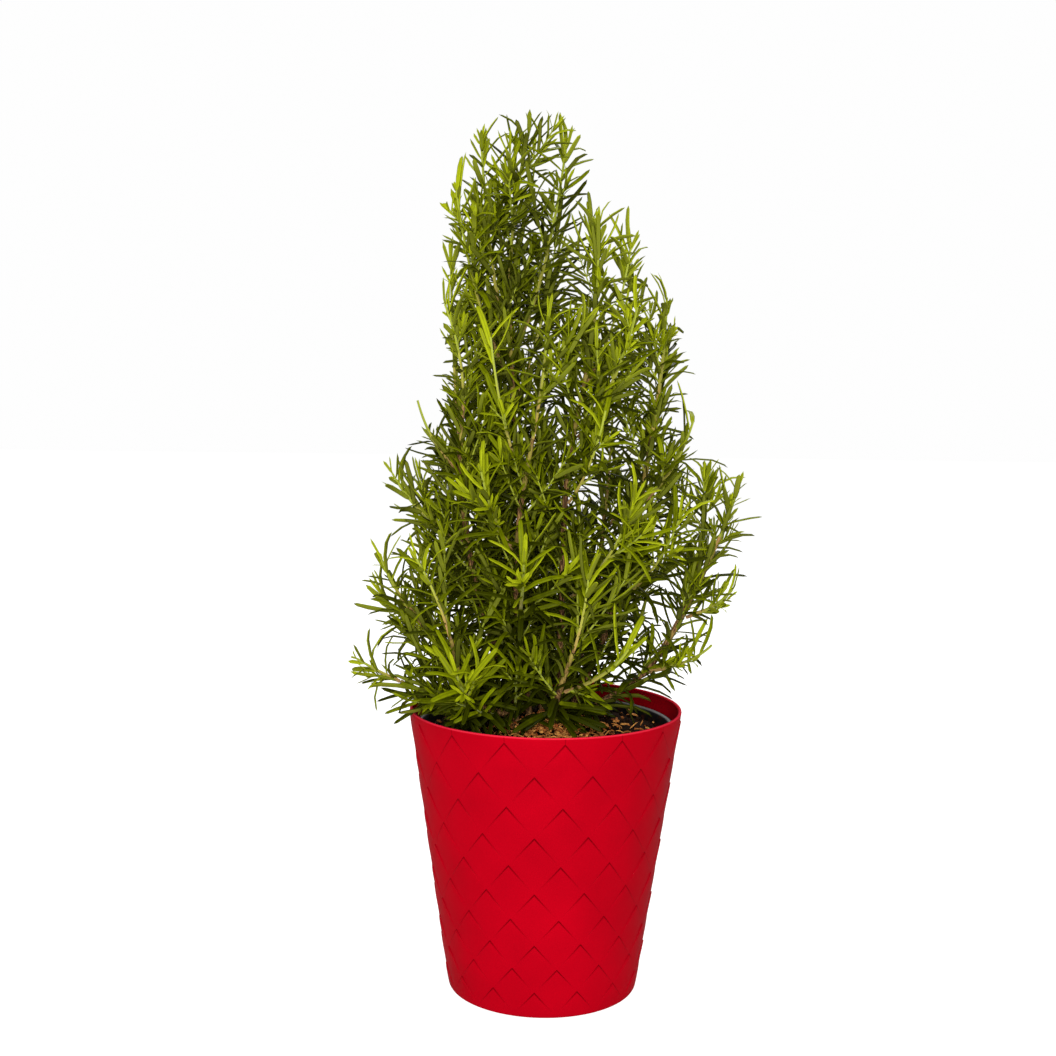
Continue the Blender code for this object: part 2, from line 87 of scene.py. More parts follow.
# Nursery pot
LINER_BASE = POT_FLOOR + GAP
LINER_BASE_RADIUS = 0.0515
LINER_RIM_HEIGHT = 0.1625
LINER_RIM_RADIUS = 0.0780
LINER_BODY_RADIUS = 0.0752
LINER_WALL = 0.0012
LINER_LIP = 0.0045
LINER_ROLL = 0.0009
LINER_HUB = 0.020
LINER_RECESS = 0.0015
DRAIN_HOLES = 5
DRAIN_RADIUS = 0.0050
DRAIN_CIRCLE = 0.0330

# Soil and chips
SOIL_RADIUS = 0.0727
SOIL_BASE_RADIUS = 0.0495
SOIL_EDGE = 0.1555
SOIL_CROWN = 0.1640
CHIP_REACH = (0.004, 0.0705)
CHIP_SPREAD = radians(58)
CHIP_MIDDLE = 0.06
CHIP_LIFT = (0.0006, 0.0048)
FRONT_CHIPS = 0.88
FIBRE_SHARE = 0.30
FIBRE_LENGTH = (0.004, 0.009)
CHIP_LENGTH = (0.0024, 0.0060)
CRUMB_REACH = 0.068
CRUMB_SIZE = (0.0008, 0.0022)

# Woody stems: where each leaves the soil, then the points that it passes on its way up
STEM_FOOT = 0.1500
STEM_COLLAR = 0.1700
STEM_FOOT_RADIUS = 0.0022
STEM_END_RADIUS = 0.0013
STEMS = {
    "leader": [(-0.002, 0.004), (-0.009, 0.006, 0.237), (-0.019, 0.003, 0.320), (-0.024, 0.002, 0.395)],
    "front": [(0.008, -0.010), (0.008, -0.028, 0.230), (0.010, -0.038, 0.312), (0.020, -0.036, 0.372)],
    "front_left": [
        (-0.010, -0.014),
        (-0.018, -0.036, 0.240),
        (-0.017, -0.042, 0.290),
        (-0.010, -0.046, 0.335),
    ],
    "left": [(-0.018, 0.000), (-0.042, -0.012, 0.245), (-0.052, -0.018, 0.310), (-0.051, -0.018, 0.345)],
    "right": [(0.016, 0.002), (0.038, -0.004, 0.225), (0.054, -0.008, 0.295), (0.062, -0.008, 0.345)],
    "far_right": [(0.026, -0.004), (0.062, -0.004, 0.197), (0.086, -0.002, 0.238), (0.100, 0.000, 0.268)],
    "low_front": [(0.004, -0.026), (0.006, -0.052, 0.188), (0.014, -0.064, 0.216)],
    "low_front_left": [(-0.018, -0.024), (-0.044, -0.048, 0.186), (-0.055, -0.058, 0.222)],
    "low_left": [(-0.028, -0.004), (-0.058, -0.016, 0.205), (-0.080, -0.020, 0.232)],
    "lowest_left": [(-0.030, -0.016), (-0.062, -0.026, 0.181), (-0.086, -0.026, 0.191)],
    "back_left": [(-0.012, 0.016), (-0.030, 0.042, 0.232), (-0.035, 0.050, 0.318)],
    "back_right": [(0.012, 0.016), (0.030, 0.040, 0.228), (0.038, 0.050, 0.302)],
    "low_back": [(0.000, 0.030), (0.004, 0.062, 0.200), (0.006, 0.078, 0.228)],
}

# Leafy shoots that carry on from the end of a woody stem: the point each one grows to
TERMINALS = {
    "leader": (-0.014, 0.000, 0.514),
    "front": (0.026, -0.030, 0.452),
    "front_left": (-0.002, -0.044, 0.402),
    "left": (-0.062, -0.014, 0.412),
    "right": (0.068, -0.006, 0.418),
    "far_right": (0.114, 0.002, 0.306),
    "low_front": (0.022, -0.070, 0.262),
    "low_front_left": (-0.074, -0.062, 0.268),
    "low_left": (-0.098, -0.018, 0.262),
    "lowest_left": (-0.112, -0.024, 0.204),
    "back_left": (-0.031, 0.048, 0.404),
    "back_right": (0.040, 0.048, 0.386),
    "low_back": (0.004, 0.094, 0.276),
}

# Side shoots: the stem that carries each one, how far along that stem it starts, and the point it grows to
SIDE_SHOOTS = [
    ("leader", 0.99, (-0.042, -0.002, 0.506)),
    ("leader", 0.90, (-0.056, -0.010, 0.478)),
    ("leader", 0.96, (0.008, 0.006, 0.508)),
    ("leader", 0.84, (0.004, 0.026, 0.462)),
    ("leader", 0.70, (-0.044, 0.034, 0.418)),
    ("front", 0.97, (0.046, -0.012, 0.446)),
    ("front", 0.80, (0.048, -0.044, 0.410)),
    ("front", 0.62, (0.030, -0.066, 0.352)),
    ("front", 0.40, (0.046, -0.066, 0.300)),
    ("front_left", 0.85, (-0.034, -0.056, 0.392)),
    ("front_left", 0.55, (-0.038, -0.074, 0.318)),
    ("front_left", 0.30, (-0.014, -0.082, 0.268)),
    ("left", 0.92, (-0.060, 0.010, 0.438)),
    ("left", 0.72, (-0.078, -0.010, 0.356)),
    ("left", 0.48, (-0.094, 0.004, 0.312)),
    ("right", 0.92, (0.070, 0.018, 0.386)),
    ("right", 0.70, (0.084, -0.016, 0.346)),
    ("right", 0.42, (0.074, -0.044, 0.290)),
    ("far_right", 0.80, (0.098, 0.016, 0.312)),
    ("far_right", 0.60, (0.110, -0.012, 0.246)),
    ("far_right", 0.34, (0.096, -0.032, 0.216)),
    ("low_front", 0.62, (0.044, -0.082, 0.222)),
    ("low_front_left", 0.50, (-0.050, -0.082, 0.206)),
    ("low_left", 0.78, (-0.100, 0.004, 0.238)),
    ("back_left", 0.84, (-0.060, 0.058, 0.350)),
    ("back_left", 0.46, (-0.076, 0.058, 0.268)),
    ("back_right", 0.84, (0.064, 0.058, 0.336)),
    ("back_right", 0.46, (0.082, 0.054, 0.258)),
    ("low_back", 0.66, (-0.038, 0.088, 0.236)),
    ("low_back", 0.40, (0.044, 0.086, 0.226)),
]
SHOOT_FOOT_RADIUS = 0.0011
SHOOT_END_RADIUS = 0.0007
# Where a side shoot bends: this share of its way out, and this share of its way up
SHOOT_LEAN = 0.70
SHOOT_RISE = 0.38

# How far leaves reach to the left and right at each height, and the crown's depth as a share of its width
CROWN = [
    (0.162, -0.086, 0.066),
    (0.180, -0.110, 0.070),
    (0.200, -0.116, 0.081),
    (0.226, -0.104, 0.093),
    (0.250, -0.102, 0.104),
    (0.281, -0.090, 0.114),
    (0.305, -0.096, 0.118),
    (0.325, -0.084, 0.090),
    (0.344, -0.064, 0.075),
    (0.380, -0.060, 0.078),
    (0.420, -0.056, 0.063),
    (0.450, -0.063, 0.052),
    (0.470, -0.058, 0.042),
    (0.494, -0.052, 0.034),
    (0.511, -0.044, 0.022),
    (0.526, -0.032, 0.002),
]
CROWN_DEPTH = 0.92
CROWN_MIDDLE_Y = 0.004
# Tones run from 0, an old dark leaf, to 1, a lime one. Stems and shoots have one tone at the foot and one at
# the tip, and a broad leaf over the soil has any tone between its two.
STEM_TONES = (0.10, 0.30)
SHOOT_TONES = (0.26, 0.58)
BROAD_TONES = (0.12, 0.40)
# How much darker a leaf at the crown's axis is painted, partly for its age and partly as shade, and the
# palest tone that a leaf may have
DEPTH_SHADE = 0.30
PALEST = 0.76
# How often branches and sprigs grow, as multiples of the shares that the user sets: the left side is fuller
STEM_BRANCHING = 1.6
LEFT_STEM_BRANCHING = 2.6
SHOOT_BRANCHING = 0.8
LEFT_SHOOT_BRANCHING = 1.5
LEFT_SIDE = -0.04
STEM_SPRIGS = 0.6
# A side branch's own sprigs, as a share of its leaf feet
BRANCH_SPRIGS = 0.16
BRANCH_RADIUS = 0.0005
# A stem's first stretch has no leaf pairs, and is shorter on a low stem
BARE_STEM = 0.030
BARE_LOW_STEM = 0.022
# How far leaves keep from the soil, from the rims, and how low they may hang outside the pot
SOIL_CLEARANCE = 0.0028
RIM_CLEARANCE = 0.002
OUTSIDE_CLEARANCE = 0.006
LOWEST_OUTSIDE = 0.120
# Leaf pairs along a shoot: the youngest 32 mm stand more upright and are paler, the last 30 mm are closer
# together, and the last 9 mm are shorter
YOUNG_STRETCH = 0.032
YOUNG_TONE = 0.22
TIP_STRETCH = 0.030
BRANCHLESS_TIP = 0.020
SPRIGLESS_TIP = 0.014
# How far grown and young leaves lean out from the shoot, in degrees
GROWN_LEAN = 62
YOUNG_LEAN = 28
# The fewest leaves that a side branch may have, and the room that it keeps for its last ones
FEWEST_LEAVES = 8
LEAF_ROOM = 0.008
# A leaf shorter than this share of the full length is one of the small shapes
SMALL_LEAF = 0.55

# A leaf's cross-section in half widths, anticlockwise from the groove along its upper face: the groove, two
# rounded halves, the rolled margins, and the felted channel underneath. The last number is 1 underneath.
LEAF_SECTION = [
    (0.00, 0.12, 0),
    (-0.55, 0.34, 0),
    (-1.00, 0.00, 0),
    (-0.62, -0.32, 1),
    (0.00, -0.10, 1),
    (0.62, -0.32, 1),
    (1.00, 0.00, 0),
    (0.55, 0.34, 0),
]
# Stations along a leaf: share of its length, and share of its full width
LEAF_STATIONS = [(0.08, 0.82), (0.34, 1.0), (0.66, 1.0), (0.91, 0.78), (1.0, 0.30)]
LEAF_BASE_WIDTH = 0.42
# Small young leaves keep the groove and the channel, with fewer faces
SMALL_SECTION = [
    (0.00, 0.12, 0),
    (-0.60, 0.34, 0),
    (-0.95, -0.12, 0.3),
    (0.00, -0.16, 1),
    (0.95, -0.12, 0.3),
    (0.60, 0.34, 0),
]
SMALL_STATIONS = [(0.20, 0.9), (0.78, 0.95), (1.0, 0.3)]
# Each leaf shape's turn at every station, in degrees: minus arches it out and down, plus curls it up
LEAF_SHAPES = [
    (0, -6, -10, -10, -6),
    (2, -11, -16, -15, -9),
    (0, 2, 4, 4, 2),
    (0, -5, -8, -5, 2),
    (4, -15, -21, -20, -13),
    (0, -2, -4, -4, -3),
    (-8, 4, 9, 9, 6),
    (2, 0, -10, -19, -18),
]


def leaf_spine(turns):
    """The middle line of a leaf of length 1: how far it strays to its upper face, and how far it has run."""
    angle = reached = stray = run = 0.0
    spine = []
    for (share, _), turn in zip(LEAF_STATIONS, turns):
        angle += radians(turn)
        stray += sin(angle) * (share - reached)
        run += cos(angle) * (share - reached)
        reached = share
        spine.append((stray, run))
    return spine


LEAF_SPINES = [leaf_spine(turns) for turns in LEAF_SHAPES]
DROOPING = (1, 4, 7)
STRAIGHT = (0, 3, 5)

# A colour mix node's inputs and output, which share their names with those of its other kinds
MIX_FACTOR, MIX_A, MIX_B, MIXED = 0, 6, 7, 2


# ---------------------------------------------------------------- settings


def linear(hex_colour):
    """An sRGB hex colour as linear red, green and blue."""
    shares = [int(hex_colour[i : i + 2], 16) / 255 for i in (1, 3, 5)]
    return tuple(c / 12.92 if c <= 0.04045 else ((c + 0.055) / 1.055) ** 2.4 for c in shares)


def colour_property(name, description, hex_colour):
    return bpy.props.FloatVectorProperty(
        name=name, description=description, default=linear(hex_colour), subtype="COLOR", size=3, min=0, max=1
    )


def length_property(name, description, metres):
    return bpy.props.FloatProperty(name=name, description=description, default=metres, unit="LENGTH", min=0)


def share_property(name, description, share):
    return bpy.props.FloatProperty(
        name=name, description=description, default=share, subtype="FACTOR", min=0, max=1
    )


def count_property(name, description, count):
    return bpy.props.IntProperty(name=name, description=description, default=count, min=0)


class RosemarySizes(bpy.types.PropertyGroup):
    """Sizes that a user may change before building."""

    leaf_length: length_property("Leaf length", "Length of a full-grown leaf", 0.0320)
    leaf_width: length_property("Leaf width", "Width of a full-grown leaf", 0.0033)
    base_leaf_length: length_property("Base leaf length", "Length of the broad leaves over the soil", 0.0370)
    base_leaf_width: length_property("Base leaf width", "Width of the broad leaves over the soil", 0.0038)
    pair_spacing: length_property("Pair spacing", "Distance between leaf pairs on a grown shoot", 0.0060)
    tip_spacing: length_property("Tip spacing", "Distance between leaf pairs at a shoot's tip", 0.0038)
    scale_stand: length_property("Scale height", "How proud a scale's top corner stands of the cone", 0.0007)
    sprig_share: share_property("Sprigs", "Share of leaf feet that carry a sprig of young leaves", 0.26)
    branch_share: share_property("Branches", "Share of leaf feet that carry a leafy side branch", 0.17)
    chips: count_property("Coir chips", "Number of chips and fibres on the soil", 1100)
    crumbs: count_property("Soil crumbs", "Number of loose crumbs on the soil", 260)
    seed: count_property("Seed", "Seed of the plant's small differences", 11)


class RosemaryColours(bpy.types.PropertyGroup):
    """Colours that a user may change before building."""

    red: colour_property("Cover pot", "Red of the cover pot's plastic", "#B70016")
    # Paler red painted on the lip's top as a highlight
    lip: colour_property("Cover pot's lip", "Paler red where the lip is rubbed", "#E42A40")
    black: colour_property("Nursery pot", "Black of the nursery pot's plastic", "#070708")
    # Grey painted on the rim's inner edge as a highlight
    rim_highlight: colour_property("Nursery pot's rim", "Grey where the rim is scuffed", "#8A8988")
    soil: colour_property("Potting mix", "Brown of the moist potting mix", "#2A1B10")
    chip_dark: colour_property("Coir, dark", "Darkest coir chips", "#8E4212")
    chip_light: colour_property("Coir, light", "Lightest coir fibres", "#EBA654")
    bark_dark: colour_property("Bark, dark", "Old bark between its fibres", "#5A3A1C")
    bark_light: colour_property("Bark, light", "Tan fibres of the bark", "#B58B52")
    twig: colour_property("Twig", "Young green twig", "#9CA62C")
    leaf_old: colour_property("Leaf, old", "Upper face of an old inner leaf", "#363C00")
    leaf_grown: colour_property("Leaf, grown", "Upper face of a full-grown leaf", "#737D02")
    leaf_young: colour_property("Leaf, young", "Upper face of a leaf at a growing tip", "#B2BC1A")
    leaf_felt: colour_property("Leaf, underside", "Pale felt under a leaf", "#7A8028")


# ---------------------------------------------------------------- modelling helpers


def only(*things):
    """Select these objects and nothing else, the first of them active."""
    bpy.ops.object.select_all(action="DESELECT")
    for thing in things:
        thing.select_set(True)
    bpy.context.view_layer.objects.active = things[0]


def editing(on):
    bpy.ops.object.mode_set(mode="EDIT" if on else "OBJECT")


def pick(thing, wanted):
    """In edit mode, select the vertices for which wanted(place) holds."""
    editing(False)
    for vert in thing.data.vertices:
        vert.select = wanted(vert.co)
    for edge in thing.data.edges:
        edge.select = all(thing.data.vertices[i].select for i in edge.vertices)
    for face in thing.data.polygons:
        face.select = all(thing.data.vertices[i].select for i in face.vertices)
    editing(True)


def draw_rings(radius, height, profile):
    """Carry the selected ring about the Z axis through a profile of (radius, height)."""
    for next_radius, next_height in profile:
        bpy.ops.mesh.extrude_region_move(TRANSFORM_OT_translate={"value": (0, 0, next_height - height)})
        share = next_radius / radius
        bpy.ops.transform.resize(value=(share, share, 1), center_override=(0, 0, next_height))
        radius, height = next_radius, next_height


def tidy_shell(distance=WELD):
    """In edit mode, weld the whole mesh and turn its faces outwards."""
    bpy.ops.mesh.select_all(action="SELECT")
    bpy.ops.mesh.remove_doubles(threshold=distance)
    bpy.ops.mesh.normals_make_consistent(inside=False)


def shade(thing, degrees):
    only(thing)
    bpy.ops.object.shade_smooth_by_angle(angle=radians(degrees))


def paint(thing, *materials):
    thing.data.materials.clear()
    for material in materials:
        thing.data.materials.append(material)


def settle(piece, slot, *nodes):
    """A finished piece: it rides on the one body and may stand for CAD nodes; the slot is not used."""
    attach(piece, "root")
    if nodes:
        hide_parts(*nodes)


def set_tone(mesh, tone):
    """One number for a copy, from 0 to 1, that its material reads as its own shade."""
    layer = mesh.attributes.get("tone") or mesh.attributes.new("tone", "FLOAT", "POINT")
    layer.data.foreach_set("value", [tone] * len(mesh.vertices))


def copy_to(model, matrix, tone):
    """A copy of a modelled shape with its own mesh, put in place."""
    mesh = model.data.copy()
    mesh.transform(matrix)
    set_tone(mesh, tone)
    made = bpy.data.objects.new(model.name, mesh)
    bpy.context.scene.collection.objects.link(made)
    return made


def join_all(name, things):
    only(*things)
    if len(things) > 1:
        bpy.ops.object.join()
    things[0].name = name
    things[0].data.name = name
    return things[0]


def discard(*models):
    for model in models:
        bpy.data.objects.remove(model, do_unlink=True)


# ---------------------------------------------------------------- materials


def add_node(tree, kind, settings=None, values=None, links=None, stops=None):
    """Add a node: its settings, constant inputs, linked inputs, and a colour ramp's stops."""
    node = tree.nodes.new(kind)
    for name, value in (settings or {}).items():
        setattr(node, name, value)
    for socket, value in (values or {}).items():
        node.inputs[socket].default_value = value
    for socket, source in (links or {}).items():
        tree.links.new(source, node.inputs[socket])
    if stops:
        ramp = node.color_ramp
        while len(ramp.elements) < len(stops):
            ramp.elements.new(0.5)
        for element, (place, colour) in zip(ramp.elements, stops):
            element.position = place
            element.color = (*colour, 1)
    return node


def new_material(name, values):
    """A material with its shader's own constants set, and its tree and shader."""
    material = bpy.data.materials.new(name)
    material.use_nodes = True
    tree = material.node_tree
    shader = tree.nodes["Principled BSDF"]
    for socket, value in values.items():
        shader.inputs[socket].default_value = value
    return material, tree, shader


def grey(value):
    return (value, value, value)


def red_polypropylene(colours):
    """Moulded polypropylene: a saturated satin red with faint orange peel and slightly dull patches, painted
    shade in the grooves and inside, and a painted highlight on the lip.
    """
    material, tree, shader = new_material(
        "red_moulded_polypropylene", {"IOR": 1.49, "Specular IOR Level": 0.012, "Roughness": 0.5}
    )
    place = add_node(tree, "ShaderNodeTexCoord").outputs["Object"]
    # Broad uneven cooling, about 40 mm across
    broad = add_node(tree, "ShaderNodeTexNoise", values={"Scale": 25, "Detail": 3}, links={"Vector": place})
    # The mould's grain is about 0.3 mm; it is drawn at 0.7 mm to show
    grain = add_node(tree, "ShaderNodeTexNoise", values={"Scale": 1400, "Detail": 2}, links={"Vector": place})
    red = tuple(colours.red)
    deep = tuple(c * 0.84 for c in red)
    shaded = add_node(
        tree, "ShaderNodeValToRGB", links={"Fac": broad.outputs["Fac"]}, stops=[(0.3, deep), (0.7, red)]
    )
    # Painted shade in the groove round each scale, and on the inside wall
    painted_light = add_node(tree, "ShaderNodeAttribute", settings={"attribute_name": "painted_light"}).outputs["Fac"]
    unshaded_share = add_node(
        tree,
        "ShaderNodeMapRange",
        values={"From Min": 0, "From Max": 1, "To Min": 1, "To Max": 0.45},
        links={"Value": painted_light},
    )
    shade_lined = add_node(
        tree,
        "ShaderNodeVectorMath",
        settings={"operation": "SCALE"},
        links={0: shaded.outputs["Color"], "Scale": unshaded_share.outputs["Result"]},
    )
    # The rounded lip has a painted highlight: it is marked below zero there
    lip_highlight_share = add_node(
        tree,
        "ShaderNodeMapRange",
        values={"From Min": LIP_HIGHLIGHT_MARK, "From Max": 0, "To Min": 0.85, "To Max": 0},
        links={"Value": painted_light},
    )
    lipped = add_node(
        tree,
        "ShaderNodeMix",
        settings={"data_type": "RGBA"},
        values={MIX_B: (*colours.lip, 1)},
        links={MIX_FACTOR: lip_highlight_share.outputs["Result"], MIX_A: shade_lined.outputs[0]},
    )
    tree.links.new(lipped.outputs[MIXED], shader.inputs["Base Color"])
    dull = add_node(
        tree,
        "ShaderNodeMapRange",
        values={"From Min": 0.3, "From Max": 0.7, "To Min": 0.46, "To Max": 0.58},
        links={"Value": broad.outputs["Fac"]},
    )
    tree.links.new(dull.outputs["Result"], shader.inputs["Roughness"])
    bump = add_node(
        tree,
        "ShaderNodeBump",
        values={"Strength": 0.12, "Distance": 0.0002},
        links={"Height": grain.outputs["Fac"]},
    )
    tree.links.new(bump.outputs["Normal"], shader.inputs["Normal"])
    return material


def black_polyethylene(colours):
    """Moulded recycled polyethylene: near black, with a painted grey highlight on the rim, dusty where soil
    has dried.
    """
    material, tree, shader = new_material(
        "black_moulded_polyethylene", {"IOR": 1.5, "Specular IOR Level": 0.14, "Roughness": 0.36}
    )
    place = add_node(tree, "ShaderNodeTexCoord").outputs["Object"]
    # Dried splashes of soil, 3 to 8 mm
    dust = add_node(
        tree,
        "ShaderNodeTexNoise",
        values={"Scale": 190, "Detail": 6, "Roughness": 0.62},
        links={"Vector": place},
    )
    black = tuple(colours.black)
    dusty = tuple(0.6 * b + 0.22 * s for b, s in zip(black, colours.chip_dark))
    shaded = add_node(
        tree, "ShaderNodeValToRGB", links={"Fac": dust.outputs["Fac"]}, stops=[(0.52, black), (0.78, dusty)]
    )
    # The rim's inner edge has a painted grey highlight
    rim_highlight = add_node(tree, "ShaderNodeAttribute", settings={"attribute_name": "rim_highlight"}).outputs["Fac"]
    highlighted_rim = add_node(
        tree,
        "ShaderNodeMix",
        settings={"data_type": "RGBA"},
        values={MIX_B: (*colours.rim_highlight, 1)},
        links={MIX_FACTOR: rim_highlight, MIX_A: shaded.outputs["Color"]},
    )
    tree.links.new(highlighted_rim.outputs[MIXED], shader.inputs["Base Color"])
    dull = add_node(
        tree,
        "ShaderNodeMapRange",
        values={"From Min": 0.4, "From Max": 0.7, "To Min": 0.36, "To Max": 0.7},
        links={"Value": dust.outputs["Fac"]},
    )
    tree.links.new(dull.outputs["Result"], shader.inputs["Roughness"])
    bump = add_node(
        tree,
        "ShaderNodeBump",
        values={"Strength": 0.25, "Distance": 0.0003},
        links={"Height": dust.outputs["Fac"]},
    )
    tree.links.new(bump.outputs["Normal"], shader.inputs["Normal"])
    return material


def potting_mix(colours):
    """Peat potting mix: dark, dull and crumbly, with paler flecks of dry fibre and perlite dust."""
    material, tree, shader = new_material("peat_potting_mix", {"Specular IOR Level": 0.06, "Roughness": 0.92})
    place = add_node(tree, "ShaderNodeTexCoord").outputs["Object"]
    # Crumbs 1.5 to 3 mm across
    crumbs = add_node(
        tree, "ShaderNodeTexVoronoi", values={"Scale": 420, "Randomness": 1}, links={"Vector": place}
    )
    fine = add_node(
        tree,
        "ShaderNodeTexNoise",
        values={"Scale": 900, "Detail": 5, "Roughness": 0.7},
        links={"Vector": place},
    )
    brown = tuple(colours.soil)
    shaded = add_node(
        tree,
        "ShaderNodeValToRGB",
        links={"Fac": fine.outputs["Fac"]},
        stops=[
            (0.30, tuple(c * 0.35 for c in brown)),
            (0.55, brown),
            (0.72, tuple(0.5 * b + 0.28 * c for b, c in zip(brown, colours.chip_dark))),
        ],
    )
    tree.links.new(shaded.outputs["Color"], shader.inputs["Base Color"])
    both = add_node(
        tree,
        "ShaderNodeMath",
        settings={"operation": "SUBTRACT"},
        links={0: fine.outputs["Fac"], 1: crumbs.outputs["Distance"]},
    )
    bump = add_node(
        tree,
        "ShaderNodeBump",
        values={"Strength": 0.8, "Distance": 0.0012},
        links={"Height": both.outputs[0]},
    )
    tree.links.new(bump.outputs["Normal"], shader.inputs["Normal"])
    return material


def coir(colours):
    """Chopped coconut coir and bark: dry orange-brown chips and tan fibres, each with its own shade."""
    material, tree, shader = new_material("chopped_coir", {"Specular IOR Level": 0.3, "Roughness": 0.85})
    place = add_node(tree, "ShaderNodeTexCoord").outputs["Object"]
    tone = add_node(tree, "ShaderNodeAttribute", settings={"attribute_name": "tone"}).outputs["Fac"]
    # Strands about 0.7 mm apart
    strands = add_node(
        tree,
        "ShaderNodeTexNoise",
        values={"Scale": 1500, "Detail": 3, "Distortion": 1.2},
        links={"Vector": place},
    )
    part = add_node(
        tree,
        "ShaderNodeMath",
        settings={"operation": "MULTIPLY_ADD"},
        values={1: 0.5},
        links={0: strands.outputs["Fac"], 2: tone},
    )
    dark, light = tuple(colours.chip_dark), tuple(colours.chip_light)
    middle = tuple(0.62 * a + 0.38 * b for a, b in zip(dark, light))
    shaded = add_node(
        tree,
        "ShaderNodeValToRGB",
        links={"Fac": part.outputs[0]},
        stops=[(0.25, tuple(c * 0.4 for c in dark)), (0.45, dark), (0.72, middle), (0.95, light)],
    )
    tree.links.new(shaded.outputs["Color"], shader.inputs["Base Color"])
    bump = add_node(
        tree,
        "ShaderNodeBump",
        values={"Strength": 0.6, "Distance": 0.0004},
        links={"Height": strands.outputs["Fac"]},
    )
    tree.links.new(bump.outputs["Normal"], shader.inputs["Normal"])
    return material


def stem_bark(colours):
    """Rosemary bark: thin and dry, with tan fibres along the stem and darker splits between them."""
    material, tree, shader = new_material("rosemary_bark", {"Specular IOR Level": 0.3, "Roughness": 0.8})
    place = add_node(tree, "ShaderNodeTexCoord").outputs["Object"]
    # Fibres 0.6 mm wide and 6 mm long, and patches of shed bark 12 mm long
    long_way = add_node(tree, "ShaderNodeMapping", values={"Scale": (1, 1, 0.09)}, links={"Vector": place})
    fibres = add_node(
        tree,
        "ShaderNodeTexNoise",
        values={"Scale": 1700, "Detail": 3},
        links={"Vector": long_way.outputs["Vector"]},
    )
    patches = add_node(tree, "ShaderNodeTexNoise", values={"Scale": 85, "Detail": 2}, links={"Vector": place})
    youth = add_node(tree, "ShaderNodeAttribute", settings={"attribute_name": "tone"}).outputs["Fac"]
    dark, light = tuple(colours.bark_dark), tuple(colours.bark_light)
    old = add_node(
        tree,
        "ShaderNodeValToRGB",
        links={"Fac": fibres.outputs["Fac"]},
        stops=[(0.34, tuple(c * 0.45 for c in dark)), (0.48, dark), (0.66, light)],
    )
    green = tuple(0.55 * a + 0.45 * b for a, b in zip(colours.twig, light))
    part = add_node(
        tree,
        "ShaderNodeMath",
        settings={"operation": "MULTIPLY_ADD"},
        values={1: 1.6},
        links={0: patches.outputs["Fac"], 2: youth},
    )
    share = add_node(
        tree,
        "ShaderNodeMapRange",
        values={"From Min": 1.35, "From Max": 1.75, "To Min": 0, "To Max": 0.8},
        links={"Value": part.outputs[0]},
    )
    mixed = add_node(
        tree,
        "ShaderNodeMix",
        settings={"data_type": "RGBA"},
        values={MIX_B: (*green, 1)},
        links={MIX_FACTOR: share.outputs["Result"], MIX_A: old.outputs["Color"]},
    )
    tree.links.new(mixed.outputs[MIXED], shader.inputs["Base Color"])
    bump = add_node(
        tree,
        "ShaderNodeBump",
        values={"Strength": 0.6, "Distance": 0.0004},
        links={"Height": fibres.outputs["Fac"]},
    )
    tree.links.new(bump.outputs["Normal"], shader.inputs["Normal"])
    return material


def green_twig(colours):
    """Young square twig: yellow-green under a fine down, turning tan and stringy towards its foot."""
    material, tree, shader = new_material(
        "rosemary_green_twig",
        {"Specular IOR Level": 0.3, "Roughness": 0.6, "Sheen Weight": 0.15, "Sheen Roughness": 0.5},
    )
    place = add_node(tree, "ShaderNodeTexCoord").outputs["Object"]
    youth = add_node(tree, "ShaderNodeAttribute", settings={"attribute_name": "tone"}).outputs["Fac"]
    # Bark comes in patches about 8 mm long
    patches = add_node(
        tree, "ShaderNodeTexNoise", values={"Scale": 120, "Detail": 3}, links={"Vector": place}
    )
    part = add_node(
        tree,
        "ShaderNodeMath",
        settings={"operation": "MULTIPLY_ADD"},
        values={1: 0.5},
        links={0: patches.outputs["Fac"], 2: youth},
    )
    twig, light, dark = tuple(colours.twig), tuple(colours.bark_light), tuple(colours.bark_dark)
    greening = tuple(0.4 * a + 0.6 * b for a, b in zip(light, twig))
    shaded = add_node(
        tree,
        "ShaderNodeValToRGB",
        links={"Fac": part.outputs[0]},
        stops=[(0.22, dark), (0.34, light), (0.52, greening), (0.8, twig)],
    )
    tree.links.new(shaded.outputs["Color"], shader.inputs["Base Color"])
    # Down about 0.3 mm apart
    down = add_node(tree, "ShaderNodeTexNoise", values={"Scale": 3000, "Detail": 1}, links={"Vector": place})
    bump = add_node(
        tree,
        "ShaderNodeBump",
        values={"Strength": 0.3, "Distance": 0.0002},
        links={"Height": down.outputs["Fac"]},
    )
    tree.links.new(bump.outputs["Normal"], shader.inputs["Normal"])
    return material


